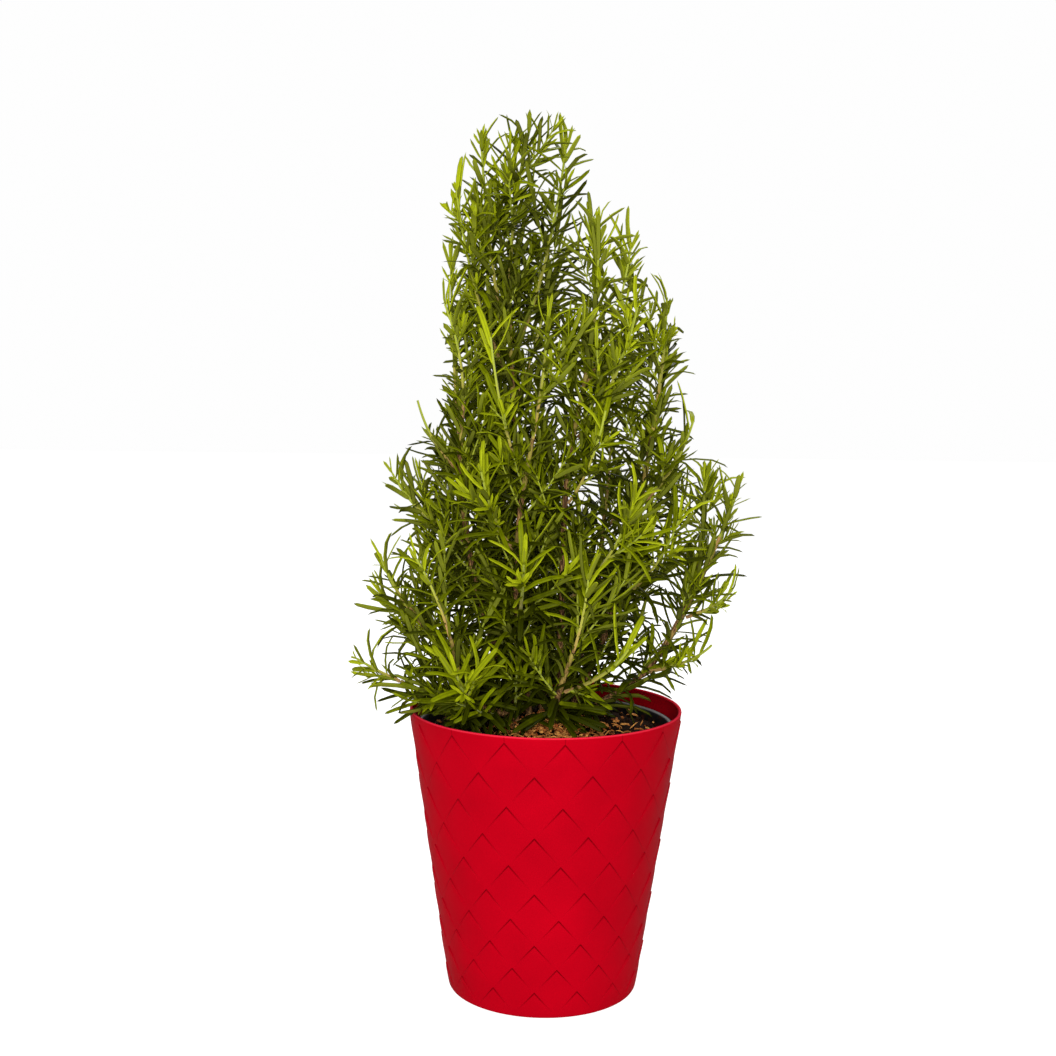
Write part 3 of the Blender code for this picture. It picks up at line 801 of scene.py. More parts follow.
def rosemary_leaf(colours):
    """Rosemary leaf: leathery dark olive with a sunken line above, grey-green felt below, lime when young."""
    material, tree, shader = new_material(
        "rosemary_leaf", {"IOR": 1.45, "Specular IOR Level": 0.05, "Roughness": 0.5}
    )
    place = add_node(tree, "ShaderNodeTexCoord").outputs["Object"]
    tone = add_node(tree, "ShaderNodeAttribute", settings={"attribute_name": "tone"}).outputs["Fac"]
    spot = add_node(tree, "ShaderNodeAttribute", settings={"attribute_name": "spot"}).outputs["Vector"]
    parts = add_node(tree, "ShaderNodeSeparateXYZ", links={"Vector": spot})
    across, under, length = parts.outputs["X"], parts.outputs["Y"], parts.outputs["Z"]
    # Uneven pigment, about 4 mm across
    mottle = add_node(tree, "ShaderNodeTexNoise", values={"Scale": 260, "Detail": 3}, links={"Vector": place})
    age = add_node(
        tree,
        "ShaderNodeMath",
        settings={"operation": "MULTIPLY_ADD"},
        values={1: 0.22},
        links={0: mottle.outputs["Fac"], 2: tone},
    )
    old, grown, young = tuple(colours.leaf_old), tuple(colours.leaf_grown), tuple(colours.leaf_young)
    upper = add_node(
        tree,
        "ShaderNodeValToRGB",
        links={"Fac": age.outputs[0]},
        stops=[(0.12, tuple(c * 0.6 for c in old)), (0.34, old), (0.62, grown), (1.0, young)],
    )
    # The groove is painted darker, as shade, and the first sixth of the leaf is paler
    groove_shade = add_node(
        tree,
        "ShaderNodeMapRange",
        values={"From Min": 0.0, "From Max": 0.3, "To Min": 0.72, "To Max": 1.0},
        links={"Value": across},
    )
    shade_lined = add_node(
        tree,
        "ShaderNodeVectorMath",
        settings={"operation": "SCALE"},
        links={0: upper.outputs["Color"], "Scale": groove_shade.outputs["Result"]},
    )
    foot = add_node(
        tree,
        "ShaderNodeMapRange",
        values={"From Min": 0.0, "From Max": 0.16, "To Min": 0.55, "To Max": 0.0},
        links={"Value": length},
    )
    footed = add_node(
        tree,
        "ShaderNodeMix",
        settings={"data_type": "RGBA"},
        values={MIX_B: (*young, 1)},
        links={MIX_FACTOR: foot.outputs["Result"], MIX_A: shade_lined.outputs[0]},
    )
    # Felt covers the channel below, and the rolled margins stay green
    felted = add_node(
        tree,
        "ShaderNodeMapRange",
        values={"From Min": 0.35, "From Max": 0.9, "To Min": 0.0, "To Max": 0.72},
        links={"Value": under},
    )
    both = add_node(
        tree,
        "ShaderNodeMix",
        settings={"data_type": "RGBA"},
        values={MIX_B: (*colours.leaf_felt, 1)},
        links={MIX_FACTOR: felted.outputs["Result"], MIX_A: footed.outputs[MIXED]},
    )
    tree.links.new(both.outputs[MIXED], shader.inputs["Base Color"])
    dull = add_node(
        tree,
        "ShaderNodeMapRange",
        values={"From Min": 0.3, "From Max": 0.9, "To Min": 0.46, "To Max": 0.85},
        links={"Value": under},
    )
    tree.links.new(dull.outputs["Result"], shader.inputs["Roughness"])
    # Fine wrinkles, about 0.7 mm apart
    wrinkles = add_node(
        tree, "ShaderNodeTexNoise", values={"Scale": 1500, "Detail": 2}, links={"Vector": place}
    )
    bump = add_node(
        tree,
        "ShaderNodeBump",
        values={"Strength": 0.25, "Distance": 0.0002},
        links={"Height": wrinkles.outputs["Fac"]},
    )
    tree.links.new(bump.outputs["Normal"], shader.inputs["Normal"])
    return material


# ---------------------------------------------------------------- cover pot


def pot_radius(height):
    return POT_BASE_RADIUS + (POT_RIM_RADIUS - POT_BASE_RADIUS) * height / POT_HEIGHT


def row_height(row):
    """Height of a row line: each row is smaller than the one above by the same ratio."""
    radius = pot_radius(SCALE_TOP) * SCALE_ROW_RATIO**row
    slope = (POT_RIM_RADIUS - POT_BASE_RADIUS) / POT_HEIGHT
    return (radius - POT_BASE_RADIUS) / slope


def model_scale(stand):
    """One diamond scale, flat: X and Y run down its sides from the top corner, Z is how proud it stands."""
    cells = len(SCALE_LINES) - 1
    middle = (0.5, 0.5, 0)
    bpy.ops.mesh.primitive_grid_add(x_subdivisions=cells, y_subdivisions=cells, size=1, location=middle)
    scale = bpy.context.object
    scale.name = "scale_model"
    bpy.ops.object.transform_apply(location=True, rotation=False, scale=False)
    painted_light = scale.data.attributes.new("painted_light", "FLOAT", "POINT")
    for vert, mark in zip(scale.data.vertices, painted_light.data):
        columns = [round(vert.co.x * cells), round(vert.co.y * cells)]
        vert.co.x, vert.co.y = (SCALE_LINES[i] for i in columns)
        fall = vert.co.x + vert.co.y
        step = min(min(columns), len(SCALE_EDGE) - 1)
        # The step and the groove at its foot run out towards the side corners, where the neighbours are flush
        vert.co.z = stand * max(0.0, 1.0 - fall) * SCALE_EDGE[step]
        # The painted shade along the groove fades out with the step
        mark.value = SCALE_SHADE[step] * max(0.0, 1.0 - fall) ** 1.5
        if max(columns) == cells:
            # A lower edge lies in the groove of the scale below it, and takes that groove's painted shade
            mark.value = max(mark.value, 0.9 * (2.0 - fall) ** 1.5)
    return scale


def wrap_scale(model, row, number):
    """A copy of the flat scale laid on the cone."""
    top_along = 2 * number + row % 2
    mesh = model.data.copy()
    for vert in mesh.vertices:
        left, right, stand = vert.co
        angle = SCALE_TURN + pi * (top_along + right - left) / SCALES_AROUND
        height = row_height(row + left + right)
        radius = pot_radius(height) + stand
        vert.co = (radius * sin(angle), -radius * cos(angle), height)
    made = bpy.data.objects.new("scale", mesh)
    bpy.context.scene.collection.objects.link(made)
    return made


def build_cover_pot(sizes, colours):
    model = model_scale(sizes.scale_stand)
    rows = range(-1, SCALE_ROWS + 1)
    scales = [wrap_scale(model, row, number) for row in rows for number in range(SCALES_AROUND)]
    discard(model)
    pot = join_all("red_cover_pot", scales)
    editing(True)
    bpy.ops.mesh.select_all(action="SELECT")
    bpy.ops.mesh.remove_doubles(threshold=WELD)
    for height, side in ((SCALE_TOP, 1), (SCALE_FOOT, -1)):
        bpy.ops.mesh.select_all(action="SELECT")
        bpy.ops.mesh.bisect(plane_co=(0, 0, height), plane_no=(0, 0, side), clear_outer=True, threshold=1e-7)
    pick(pot, lambda co: co.z > SCALE_TOP - WELD)
    lip_radius = POT_RIM_RADIUS - POT_WALL / 2
    inner_foot = pot_radius(POT_FLOOR) - POT_WALL
    outer_top = pot_radius(POT_HEIGHT - 0.0011)
    profile = [
        (pot_radius(SCALE_TOP + 0.0012), SCALE_TOP + 0.0012),
        (outer_top, POT_HEIGHT - 0.0011),
        (outer_top - 0.00008, POT_HEIGHT - 0.0005),
        (lip_radius + LIP_HALF, POT_HEIGHT - 0.0001),
        (lip_radius, POT_HEIGHT),
        (lip_radius - LIP_HALF, POT_HEIGHT - 0.0001),
        (POT_RIM_RADIUS - POT_WALL - LIP_BEAD, POT_HEIGHT - 0.0008),
        (POT_RIM_RADIUS - POT_WALL - LIP_BEAD, POT_HEIGHT - 0.0026),
        (pot_radius(POT_HEIGHT - 0.0034) - POT_WALL, POT_HEIGHT - 0.0034),
        (pot_radius(0.150) - POT_WALL, 0.150),
        (pot_radius(0.080) - POT_WALL, 0.080),
        (inner_foot + 0.0006, POT_FLOOR + 0.0024),
        (inner_foot - 0.0018, POT_FLOOR),
        (HUB_RADIUS, POT_FLOOR),
    ]
    draw_rings(pot_radius(SCALE_TOP), SCALE_TOP, profile)
    bpy.ops.mesh.edge_face_add()
    pick(pot, lambda co: abs(co.z - SCALE_FOOT) < WELD and co.xy.length > inner_foot + 0.001)
    foot = [
        (POT_BASE_RADIUS, 0.0009),
        (POT_BASE_RADIUS - 0.0004, 0.0002),
        (POT_BASE_RADIUS - 0.0010, 0.0),
        (POT_BASE_RADIUS - FOOT_RING, 0.0),
        (POT_BASE_RADIUS - FOOT_RING - 0.0006, 0.0010),
        (HUB_RADIUS, 0.0010),
    ]
    draw_rings(pot_radius(SCALE_FOOT), SCALE_FOOT, foot)
    bpy.ops.mesh.edge_face_add()
    tidy_shell(1e-6)
    editing(False)
    for vert, mark in zip(pot.data.vertices, pot.data.attributes["painted_light"].data):
        # The top of the lip is marked for a painted highlight
        if vert.co.z > POT_HEIGHT - LIP_HIGHLIGHT_DEPTH:
            mark.value = LIP_HIGHLIGHT_MARK
        elif vert.co.xy.length < pot_radius(vert.co.z) - POT_WALL * 0.8:
            # The inside wall is painted darker, as shade
            mark.value = INSIDE_SHADE
    shade(pot, 42)
    paint(pot, red_polypropylene(colours))
    settle(pot, "pot_plastic", "cover_pot")


# ---------------------------------------------------------------- nursery pot


def build_nursery_pot(colours):
    raised = LINER_BASE + LINER_RECESS
    middle = (0, 0, raised)
    bpy.ops.mesh.primitive_circle_add(vertices=96, radius=LINER_HUB, fill_type="NGON", location=middle)
    pot = bpy.context.object
    pot.name = pot.data.name = "black_nursery_pot"
    bpy.ops.object.transform_apply(location=True, rotation=False, scale=False)
    under_rim = LINER_RIM_HEIGHT - LINER_LIP
    inner_base = LINER_BASE + LINER_WALL
    inner_radius = LINER_BASE_RADIUS - LINER_WALL
    profile = [
        (LINER_BASE_RADIUS - 0.0060, raised),
        (LINER_BASE_RADIUS - 0.0050, LINER_BASE),
        (LINER_BASE_RADIUS - 0.0010, LINER_BASE),
        (LINER_BASE_RADIUS, LINER_BASE + 0.0010),
        (LINER_BODY_RADIUS - 0.0006, under_rim - 0.0100),
        (LINER_BODY_RADIUS, under_rim),
        (LINER_RIM_RADIUS - 0.0004, under_rim),
        (LINER_RIM_RADIUS, under_rim + 0.0004),
        (LINER_RIM_RADIUS, LINER_RIM_HEIGHT - LINER_ROLL),
        (LINER_RIM_RADIUS - LINER_ROLL * 0.3, LINER_RIM_HEIGHT - LINER_ROLL * 0.3),
        (LINER_RIM_RADIUS - LINER_ROLL, LINER_RIM_HEIGHT),
        (LINER_BODY_RADIUS + 0.0010, LINER_RIM_HEIGHT),
        (LINER_BODY_RADIUS + 0.0004, LINER_RIM_HEIGHT - 0.0003),
        (LINER_BODY_RADIUS, LINER_RIM_HEIGHT - 0.0012),
        (LINER_BODY_RADIUS - LINER_WALL, under_rim),
        (inner_radius, inner_base + 0.0006),
        (inner_radius - 0.0006, inner_base + LINER_RECESS),
        (LINER_HUB, inner_base + LINER_RECESS),
    ]
    editing(True)
    bpy.ops.mesh.select_all(action="SELECT")
    draw_rings(LINER_HUB, raised, profile)
    tidy_shell()
    editing(False)
    for number in range(DRAIN_HOLES):
        angle = 2 * pi * (number + 0.5) / DRAIN_HOLES
        middle = (DRAIN_CIRCLE * cos(angle), DRAIN_CIRCLE * sin(angle), LINER_BASE)
        bpy.ops.mesh.primitive_cylinder_add(vertices=24, radius=DRAIN_RADIUS, depth=0.010, location=middle)
        drill = bpy.context.object
        only(pot)
        cut = pot.modifiers.new("drain_hole", "BOOLEAN")
        cut.operation = "DIFFERENCE"
        cut.solver = "EXACT"
        cut.object = drill
        bpy.ops.object.modifier_apply(modifier=cut.name)
        discard(drill)
    shade(pot, 40)
    paint(pot, black_polyethylene(colours))
    # The rim's inner edge is marked for a painted grey highlight
    rim_highlight = pot.data.attributes.new("rim_highlight", "FLOAT", "POINT")
    for vert, mark in zip(pot.data.vertices, rim_highlight.data):
        is_inner_edge = vert.co.xy.length < LINER_BODY_RADIUS + 0.0012
        mark.value = float(is_inner_edge and vert.co.z > LINER_RIM_HEIGHT - 0.0004)
    settle(pot, "liner_plastic", "nursery_pot")


# ---------------------------------------------------------------- soil and chips


def soil_height(x, y):
    """A low mound with gentle lumps, falling to the pot's wall."""
    reach = min(1.0, sqrt(x * x + y * y) / SOIL_RADIUS)
    lumps = 0.0008 * sin(190 * x + 1.0) * cos(170 * y) + 0.0005 * sin(420 * y + 310 * x)
    return SOIL_EDGE + (SOIL_CROWN - SOIL_EDGE) * (1 - reach**2.4) + lumps


def model_crumb(name, seed, size):
    """A lump of peat or chip: a small ball pushed out of round."""
    bpy.ops.mesh.primitive_ico_sphere_add(subdivisions=1, radius=1, location=(0, 0, 0))
    crumb = bpy.context.object
    crumb.name = name
    draw = Random(seed)
    for vert in crumb.data.vertices:
        vert.co = vert.co * draw.uniform(0.70, 1.15)
        vert.co = Vector((vert.co.x * size[0], vert.co.y * size[1], vert.co.z * size[2]))
    shade(crumb, 60)
    return crumb


def lying_matrix(x, y, lift, draw, tilt):
    """A random turn about the upright and a small tilt, on the soil at x, y."""
    turn = Matrix.Rotation(draw.uniform(0, 2 * pi), 4, "Z")
    lean = Matrix.Rotation(draw.uniform(-tilt, tilt), 4, "X")
    lean = lean @ Matrix.Rotation(draw.uniform(-tilt, tilt), 4, "Y")
    return Matrix.Translation((x, y, soil_height(x, y) + lift)) @ lean @ turn


def build_soil(sizes, colours):
    finish = potting_mix(colours)
    base = LINER_BASE + LINER_WALL + LINER_RECESS + GAP
    start = 0.010
    bpy.ops.mesh.primitive_circle_add(vertices=96, radius=start, fill_type="NGON", location=(0, 0, base))
    soil = bpy.context.object
    bpy.ops.object.transform_apply(location=True, rotation=False, scale=False)
    shares = (1.0, 0.95, 0.90, 0.85, 0.8, 0.74, 0.68, 0.6, 0.52, 0.44, 0.36, 0.28, 0.2)
    profile = [
        (SOIL_BASE_RADIUS - 0.0012, base),
        (SOIL_BASE_RADIUS, base + 0.002),
        (SOIL_RADIUS - 0.0008, SOIL_EDGE - 0.005),
        *((SOIL_RADIUS * share, SOIL_EDGE) for share in shares),
        (0.006, SOIL_EDGE),
    ]
    editing(True)
    bpy.ops.mesh.select_all(action="SELECT")
    draw_rings(start, base, profile)
    bpy.ops.mesh.merge(type="CENTER")
    pick(soil, lambda co: co.z > SOIL_EDGE - WELD)
    bpy.ops.mesh.subdivide(number_cuts=1)
    tidy_shell()
    editing(False)
    for vert in soil.data.vertices:
        if vert.co.z > SOIL_EDGE - 1e-4:
            rough = noise.fractal(vert.co * 330, 0.9, 2.0, 3) * 0.0009
            vert.co.z = soil_height(vert.co.x, vert.co.y) + rough - 0.0003
    shade(soil, 55)
    soil.data.materials.append(finish)
    set_tone(soil.data, 0.5)
    models = [model_crumb(f"crumb_model_{i}", i, (1, 0.85, 0.7)) for i in range(4)]
    for model in models:
        model.data.materials.append(finish)
    draw = Random(sizes.seed + 1)
    parts = [soil]
    for _ in range(sizes.crumbs):
        angle, reach = draw.uniform(0, 2 * pi), CRUMB_REACH * sqrt(draw.uniform(0.02, 1))
        x, y = reach * sin(angle), -reach * cos(angle)
        size = draw.uniform(*CRUMB_SIZE)
        matrix = lying_matrix(x, y, size * 0.3, draw, 0.8) @ Matrix.Scale(size, 4)
        parts.append(copy_to(draw.choice(models), matrix, 0.5))
    discard(*models)
    piece = join_all("peat_potting_mix", parts)
    settle(piece, "soil", "potting_soil")


def model_fibre(name, seed):
    """A curled strand of coir, 1 unit long."""
    draw = Random(seed)
    bend = Vector((0, draw.uniform(-0.5, 0.5), draw.uniform(0.1, 0.5)))
    shares = (0, 0.17, 0.33, 0.5, 0.67, 0.83, 1)
    points = [Vector((t - 0.5, 0, 0)) + bend * 4 * t * (1 - t) * 0.5 for t in shares]
    return tube_mesh(name, [(points, [0.035, 0.05, 0.05, 0.055, 0.05, 0.04, 0.03])], 0)


def build_chips(sizes, colours):
    finish = coir(colours)
    shapes = [(0.5, 0.22, 0.12), (0.45, 0.32, 0.16), (0.5, 0.15, 0.13), (0.35, 0.3, 0.25)]
    chips = [model_crumb(f"chip_model_{i}", 20 + i, size) for i, size in enumerate(shapes)]
    fibres = [model_fibre(f"fibre_model_{i}", 40 + i) for i in range(4)]
    for model in chips + fibres:
        paint(model, finish)
    draw = Random(sizes.seed + 2)
    parts = []
    for number in range(sizes.chips):
        near_front = number < sizes.chips * FRONT_CHIPS
        angle = draw.gauss(CHIP_MIDDLE, CHIP_SPREAD / 2) if near_front else draw.uniform(0, 2 * pi)
        reach = draw.uniform(*CHIP_REACH) if near_front else CHIP_REACH[1] * sqrt(draw.uniform(0, 1))
        x, y = reach * sin(angle), -reach * cos(angle)
        stringy = draw.random() < FIBRE_SHARE
        size = draw.uniform(*FIBRE_LENGTH) if stringy else draw.uniform(*CHIP_LENGTH)
        lift = draw.uniform(*CHIP_LIFT)
        matrix = lying_matrix(x, y, lift, draw, 0.55) @ Matrix.Scale(size, 4)
        ends = [matrix @ Vector((side, 0, 0)) for side in (-0.5, 0.5)]
        if max(end.xy.length for end in ends) > SOIL_RADIUS:
            continue
        tone = min(0.85, max(0.05, draw.gauss(0.56 if stringy else 0.44, 0.18)))
        parts.append(copy_to(draw.choice(fibres if stringy else chips), matrix, tone))
    discard(*chips, *fibres)
    piece = join_all("coir_and_bark_chips", parts)
    settle(piece, "coir", "coir_chips")


# ---------------------------------------------------------------- paths


def between(first, last, share):
    """A value that is a share of the way from the first to the last."""
    return first + (last - first) * share


def smooth_path(points, count):
    """Points read evenly from a Catmull-Rom curve through the given ones."""
    ends = [points[0] * 2 - points[1], *points, points[-1] * 2 - points[-2]]
    path = []
    for i in range(count):
        place = (len(points) - 1) * i / (count - 1)
        span = min(int(place), len(points) - 2)
        t = place - span
        a, b, c, d = ends[span : span + 4]
        square, cube = a * 2 - b * 5 + c * 4 - d, b * 3 - a - c * 3 + d
        path.append((b * 2 + (c - a) * t + square * t**2 + cube * t**3) / 2)
    return path


def stem_path(name, count=40):
    """Straight up through the soil to the collar, then a smooth curve."""
    (x, y), *rest = STEMS[name]
    points = [Vector((x, y, STEM_COLLAR)), *map(Vector, rest)]
    return [Vector((x, y, STEM_FOOT)), *smooth_path(points, count - 1)]


def along(path, share):
    """The point and the direction at a share of a path's steps."""
    place = share * (len(path) - 1)
    i = min(int(place), len(path) - 2)
    return path[i].lerp(path[i + 1], place - i), (path[i + 1] - path[i]).normalized()


def bowed_path(start, bend, tip, count=16):
    """A curve drawn towards its bend on the way to its tip."""
    shares = [i / (count - 1) for i in range(count)]
    return [start * (1 - t) ** 2 + bend * 2 * t * (1 - t) + tip * t**2 for t in shares]


def plan_shoots():
    """Every shoot's path: those that end a woody stem first, then the side shoots."""
    paths = []
    for name, tip in TERMINALS.items():
        path = stem_path(name, 8)
        heading = (path[-1] - path[-2]).normalized()
        start, tip = path[-1] + heading * GAP, Vector(tip)
        paths.append(bowed_path(start, start + heading * (tip - start).length * 0.5, tip))
    for name, share, tip in SIDE_SHOOTS:
        tip = Vector(tip)
        point, heading = along(stem_path(name), share)
        outward = tip - point
        outward = (outward - heading * outward.dot(heading)).normalized()
        radius = between(STEM_FOOT_RADIUS, STEM_END_RADIUS, share)
        start = point + outward * (radius + SHOOT_FOOT_RADIUS + GAP)
        bend = start.lerp(tip, SHOOT_LEAN)
        bend.z = start.z + SHOOT_RISE * (tip.z - start.z)
        paths.append(bowed_path(start, bend, tip))
    return paths


def path_length(path):
    return sum((b - a).length for a, b in zip(path, path[1:]))


def place_along(path, distance):
    """The point and the direction at a distance from a path's start."""
    for a, b in zip(path, path[1:]):
        step = (b - a).length
        if distance <= step:
            return a.lerp(b, distance / step), (b - a).normalized()
        distance -= step
    return path[-1], (path[-1] - path[-2]).normalized()


def tube_mesh(name, runs, roundness):
    """Round tubes along runs of (points, radii), drawn as one curve and made a mesh."""
    curve = bpy.data.curves.new(name, "CURVE")
    curve.dimensions = "3D"
    curve.bevel_depth = 1.0
    curve.bevel_resolution = roundness
    curve.use_fill_caps = True
    for points, radii in runs:
        spline = curve.splines.new("POLY")
        spline.points.add(len(points) - 1)
        for knot, point, radius in zip(spline.points, points, radii):
            knot.co = (*point, 1)
            knot.radius = radius
    tube = bpy.data.objects.new(name, curve)
    bpy.context.scene.collection.objects.link(tube)
    only(tube)
    bpy.ops.object.convert(target="MESH")
    tube = bpy.context.object
    editing(True)
    tidy_shell(1e-6)
    editing(False)
    shade(tube, 75)
    return tube


# ---------------------------------------------------------------- leaves


def model_leaf(name, section, stations, turns, length, width, material):
    """A leaf drawn out of its cross-section, station by station, along +Z with its upper face towards +Y."""
    bpy.ops.mesh.primitive_circle_add(vertices=len(section), radius=1, fill_type="NGON", location=(0, 0, 0))
    leaf = bpy.context.object
    leaf.name = name
    half = width / 2
    spot = leaf.data.attributes.new("spot", "FLOAT_VECTOR", "POINT")
    for vert, mark, (x, y, under) in zip(leaf.data.vertices, spot.data, section):
        vert.co = (x * half * LEAF_BASE_WIDTH, y * half * LEAF_BASE_WIDTH, 0)
        mark.vector = (abs(x), under, 0)
    editing(True)
    bpy.ops.mesh.select_all(action="SELECT")
    centre, angle, reached, size = Vector((0, 0, 0)), 0.0, 0.0, LEAF_BASE_WIDTH
    for (share, next_size), turn in zip(stations, turns):
        angle += radians(turn)
        step = Vector((0, sin(angle), cos(angle))) * (share - reached) * length
        bpy.ops.mesh.extrude_region_move(TRANSFORM_OT_translate={"value": step})
        centre += step
        bpy.ops.transform.rotate(value=radians(turn), orient_axis="X", center_override=centre)
        bpy.ops.transform.resize(value=[next_size / size] * 3, center_override=centre)
        reached, size = share, next_size
    bpy.ops.mesh.merge(type="CENTER")
    tidy_shell(1e-7)
    editing(False)
    spot = leaf.data.attributes["spot"]
    top = max(vert.co.z for vert in leaf.data.vertices)
    for vert, mark in zip(leaf.data.vertices, spot.data):
        mark.vector = (mark.vector.x, mark.vector.y, vert.co.z / top)
    shade(leaf, 120)
    paint(leaf, material)
    return leaf


def clears_pot(point):
    """Above the soil inside, above the rims near them, and not far down the pot outside."""
    reach = point.xy.length
    if reach > POT_RIM_RADIUS + OUTSIDE_CLEARANCE:
        return point.z > LOWEST_OUTSIDE
    if reach > LINER_BODY_RADIUS - SOIL_CLEARANCE:
        return point.z > POT_HEIGHT + RIM_CLEARANCE
    return point.z > soil_height(point.x, point.y) + SOIL_CLEARANCE


def crown_share(point):
    """How far out a point is: 0 on the crown's axis, 1 on its outline, and more outside it."""
    if point.z > CROWN[-1][0]:
        return 2.0
    for lower, upper in zip(CROWN, CROWN[1:]):
        if point.z < upper[0]:
            break
    t = max(0.0, (point.z - lower[0]) / (upper[0] - lower[0]))
    left, right = (between(a, b, t) for a, b in zip(lower[1:], upper[1:]))
    half = (right - left) / 2
    across = (point.x - (left + right) / 2) / half
    deep = (point.y - CROWN_MIDDLE_Y) / (half * CROWN_DEPTH)
    return sqrt(across * across + deep * deep)


class Foliage:
    """Plans the leaves and twigs of one shoot or stem, then makes them as one piece."""

    def __init__(self, models, sizes, seed):
        self.models = models
        self.sizes = sizes
        self.draw = Random(seed)
        self.leaves = []
        self.twigs = []

    def leaf(self, foot, heading, outward, angle, length, width, tone, shapes=None):
        """One leaf that leans out from the heading, turned up to clear the pot and kept within the crown."""
        draw = self.draw
        shape = draw.choice(shapes or range(len(LEAF_SHAPES)))
        aim = (heading * cos(angle) + outward * sin(angle) + UP * 0.10).normalized()
        slack = 1.10 + draw.uniform(-0.06, 0.06)
        for _ in range(10):
            face = heading - aim * heading.dot(aim)
            face = (face if face.length > 1e-3 else outward).normalized()
            spine = [foot + (face * y + aim * z) * length for y, z in LEAF_SPINES[shape]]
            if not all(clears_pot(point) for point in spine):
                aim = (aim + UP * 0.25).normalized()
            elif crown_share(spine[-1]) > slack:
                length *= 0.84
            else:
                break
        else:
            return
        side = face.cross(aim)
        turn = Matrix((side, face, aim)).transposed() @ Matrix.Rotation(draw.gauss(0, 0.25), 3, "Z")
        long_share = length / self.sizes.leaf_length
        wide_share = width / self.sizes.leaf_width
        if length < self.sizes.leaf_length * SMALL_LEAF:
            shape += len(LEAF_SHAPES)
        size = Matrix.Diagonal((wide_share, sqrt(wide_share * long_share), long_share))
        matrix = Matrix.Translation(foot) @ (turn @ size).to_4x4()
        # Leaves deep inside the crown are darker: partly older leaves, partly painted shade
        tone -= DEPTH_SHADE * max(0.0, 1.0 - crown_share(foot))
        self.leaves.append((shape, matrix, min(PALEST, max(0.0, tone))))

    def cluster(self, path, radius, length, width, tones, start=0.004, branches=0.0, sprigs=0.0):
        """Leaf pairs up a path, each turned a quarter from the last, shorter and more upright at the tip."""
        draw, sizes = self.draw, self.sizes
        whole = path_length(path)
        distance = start
        turn = draw.uniform(0, 2 * pi)
        while distance < whole - 0.0002:
            left = whole - distance
            point, heading = place_along(path, distance)
            side = heading.orthogonal().normalized()
            youth = max(0.0, 1.0 - left / YOUNG_STRETCH)
            angle = radians(between(GROWN_LEAN, YOUNG_LEAN, youth**0.8) + draw.gauss(0, 9))
            share = min(1.0, 0.70 + left / TIP_STRETCH)
            tone = between(*tones, min(1.0, distance / whole)) + YOUNG_TONE * youth**1.5
            for half in (0, pi):
                spin = turn + half + draw.gauss(0, 0.18)
                outward = side * cos(spin) + heading.cross(side) * sin(spin)
                foot = point + outward * radius * 0.8
                leaf_length = length * share * draw.uniform(0.70, 1.14)
                leaf_width = width * (0.65 + 0.35 * share) * draw.uniform(0.78, 1.10)
                lean = angle + draw.gauss(0, 0.13)
                leaf_tone = tone + draw.gauss(0, 0.12)
                self.leaf(foot, heading, outward, lean, leaf_length, leaf_width, leaf_tone)
                if left > BRANCHLESS_TIP and draw.random() < branches:
                    self.branch(foot, heading, outward, length, width, tone)
                elif left > SPRIGLESS_TIP and draw.random() < sprigs:
                    self.sprig(foot, heading, outward, length, width, tone)
            step = between(sizes.tip_spacing, sizes.pair_spacing, min(1.0, left / TIP_STRETCH))
            distance += step * draw.uniform(0.8, 1.2)
            turn += pi / 2
        tip, heading = place_along(path, whole)
        side = heading.orthogonal().normalized()
        for half in (0, pi):
            outward = side * cos(turn + half) + heading.cross(side) * sin(turn + half)
            young = (radians(14), length * 0.5, width * 0.6, tones[1] + 0.2)
            self.leaf(tip, heading, outward, *young, STRAIGHT)

    def branch(self, foot, heading, outward, length, width, tone):
        """A leafy side branch that leans out and turns up, shorter where it would leave the crown."""
        draw = self.draw
        reach = draw.uniform(0.018, 0.050)
        aim = (heading * 0.75 + outward * draw.uniform(0.5, 0.9) + UP * 0.25).normalized()
        for _ in range(4):
            tip = foot + aim * reach + UP * reach * 0.18
            if crown_share(tip + aim * LEAF_ROOM) < 0.93 and clears_pot(tip):
                break
            reach *= 0.75
        else:
            return
        path = bowed_path(foot, foot + aim * reach * 0.5, tip, 6)
        leaves, twigs = len(self.leaves), len(self.twigs)
        self.twigs.append((path, [0.0007 - 0.00005 * i for i in range(6)], (0.45, 0.85)))
        shorter = length * draw.uniform(0.66, 0.92)
        tones = (tone, tone + 0.14)
        self.cluster(path, BRANCH_RADIUS, shorter, width * 0.86, tones, start=0.005, sprigs=BRANCH_SPRIGS)
        if len(self.leaves) < leaves + FEWEST_LEAVES:
            # A branch that would be left bare at the crown's outline isn't grown
            del self.leaves[leaves:], self.twigs[twigs:]

    def sprig(self, foot, heading, outward, length, width, tone):
        """A short young shoot from the foot of a leaf, with two to four pairs of small leaves."""
        draw = self.draw
        reach = draw.uniform(0.003, 0.012)
        aim = (heading * 0.85 + outward * 0.6 + UP * 0.15).normalized()
        end = foot + aim * reach
        if not clears_pot(end + aim * LEAF_ROOM):
            return
        self.twigs.append(([foot, foot.lerp(end, 0.5), end], [0.00050, 0.00045, 0.00035], 0.9))
        turn = draw.uniform(0, 2 * pi)
        side = aim.orthogonal().normalized()
        pairs = 2 + int(reach / 0.0042)
        for pair in range(pairs):
            share = (pair + 1) / pairs
            point = foot.lerp(end, share)
            small = length * draw.uniform(0.36, 0.56) * (1.12 - 0.40 * share)
            for half in (0, pi):
                outer = side * cos(turn + half) + aim.cross(side) * sin(turn + half)
                angle = radians(44 - 26 * share + draw.gauss(0, 6))
                new_tone = tone + 0.16 + 0.16 * share + draw.gauss(0, 0.06)
                self.leaf(point, aim, outer, angle, small, width * draw.uniform(0.5, 0.68), new_tone)
            turn += pi / 2

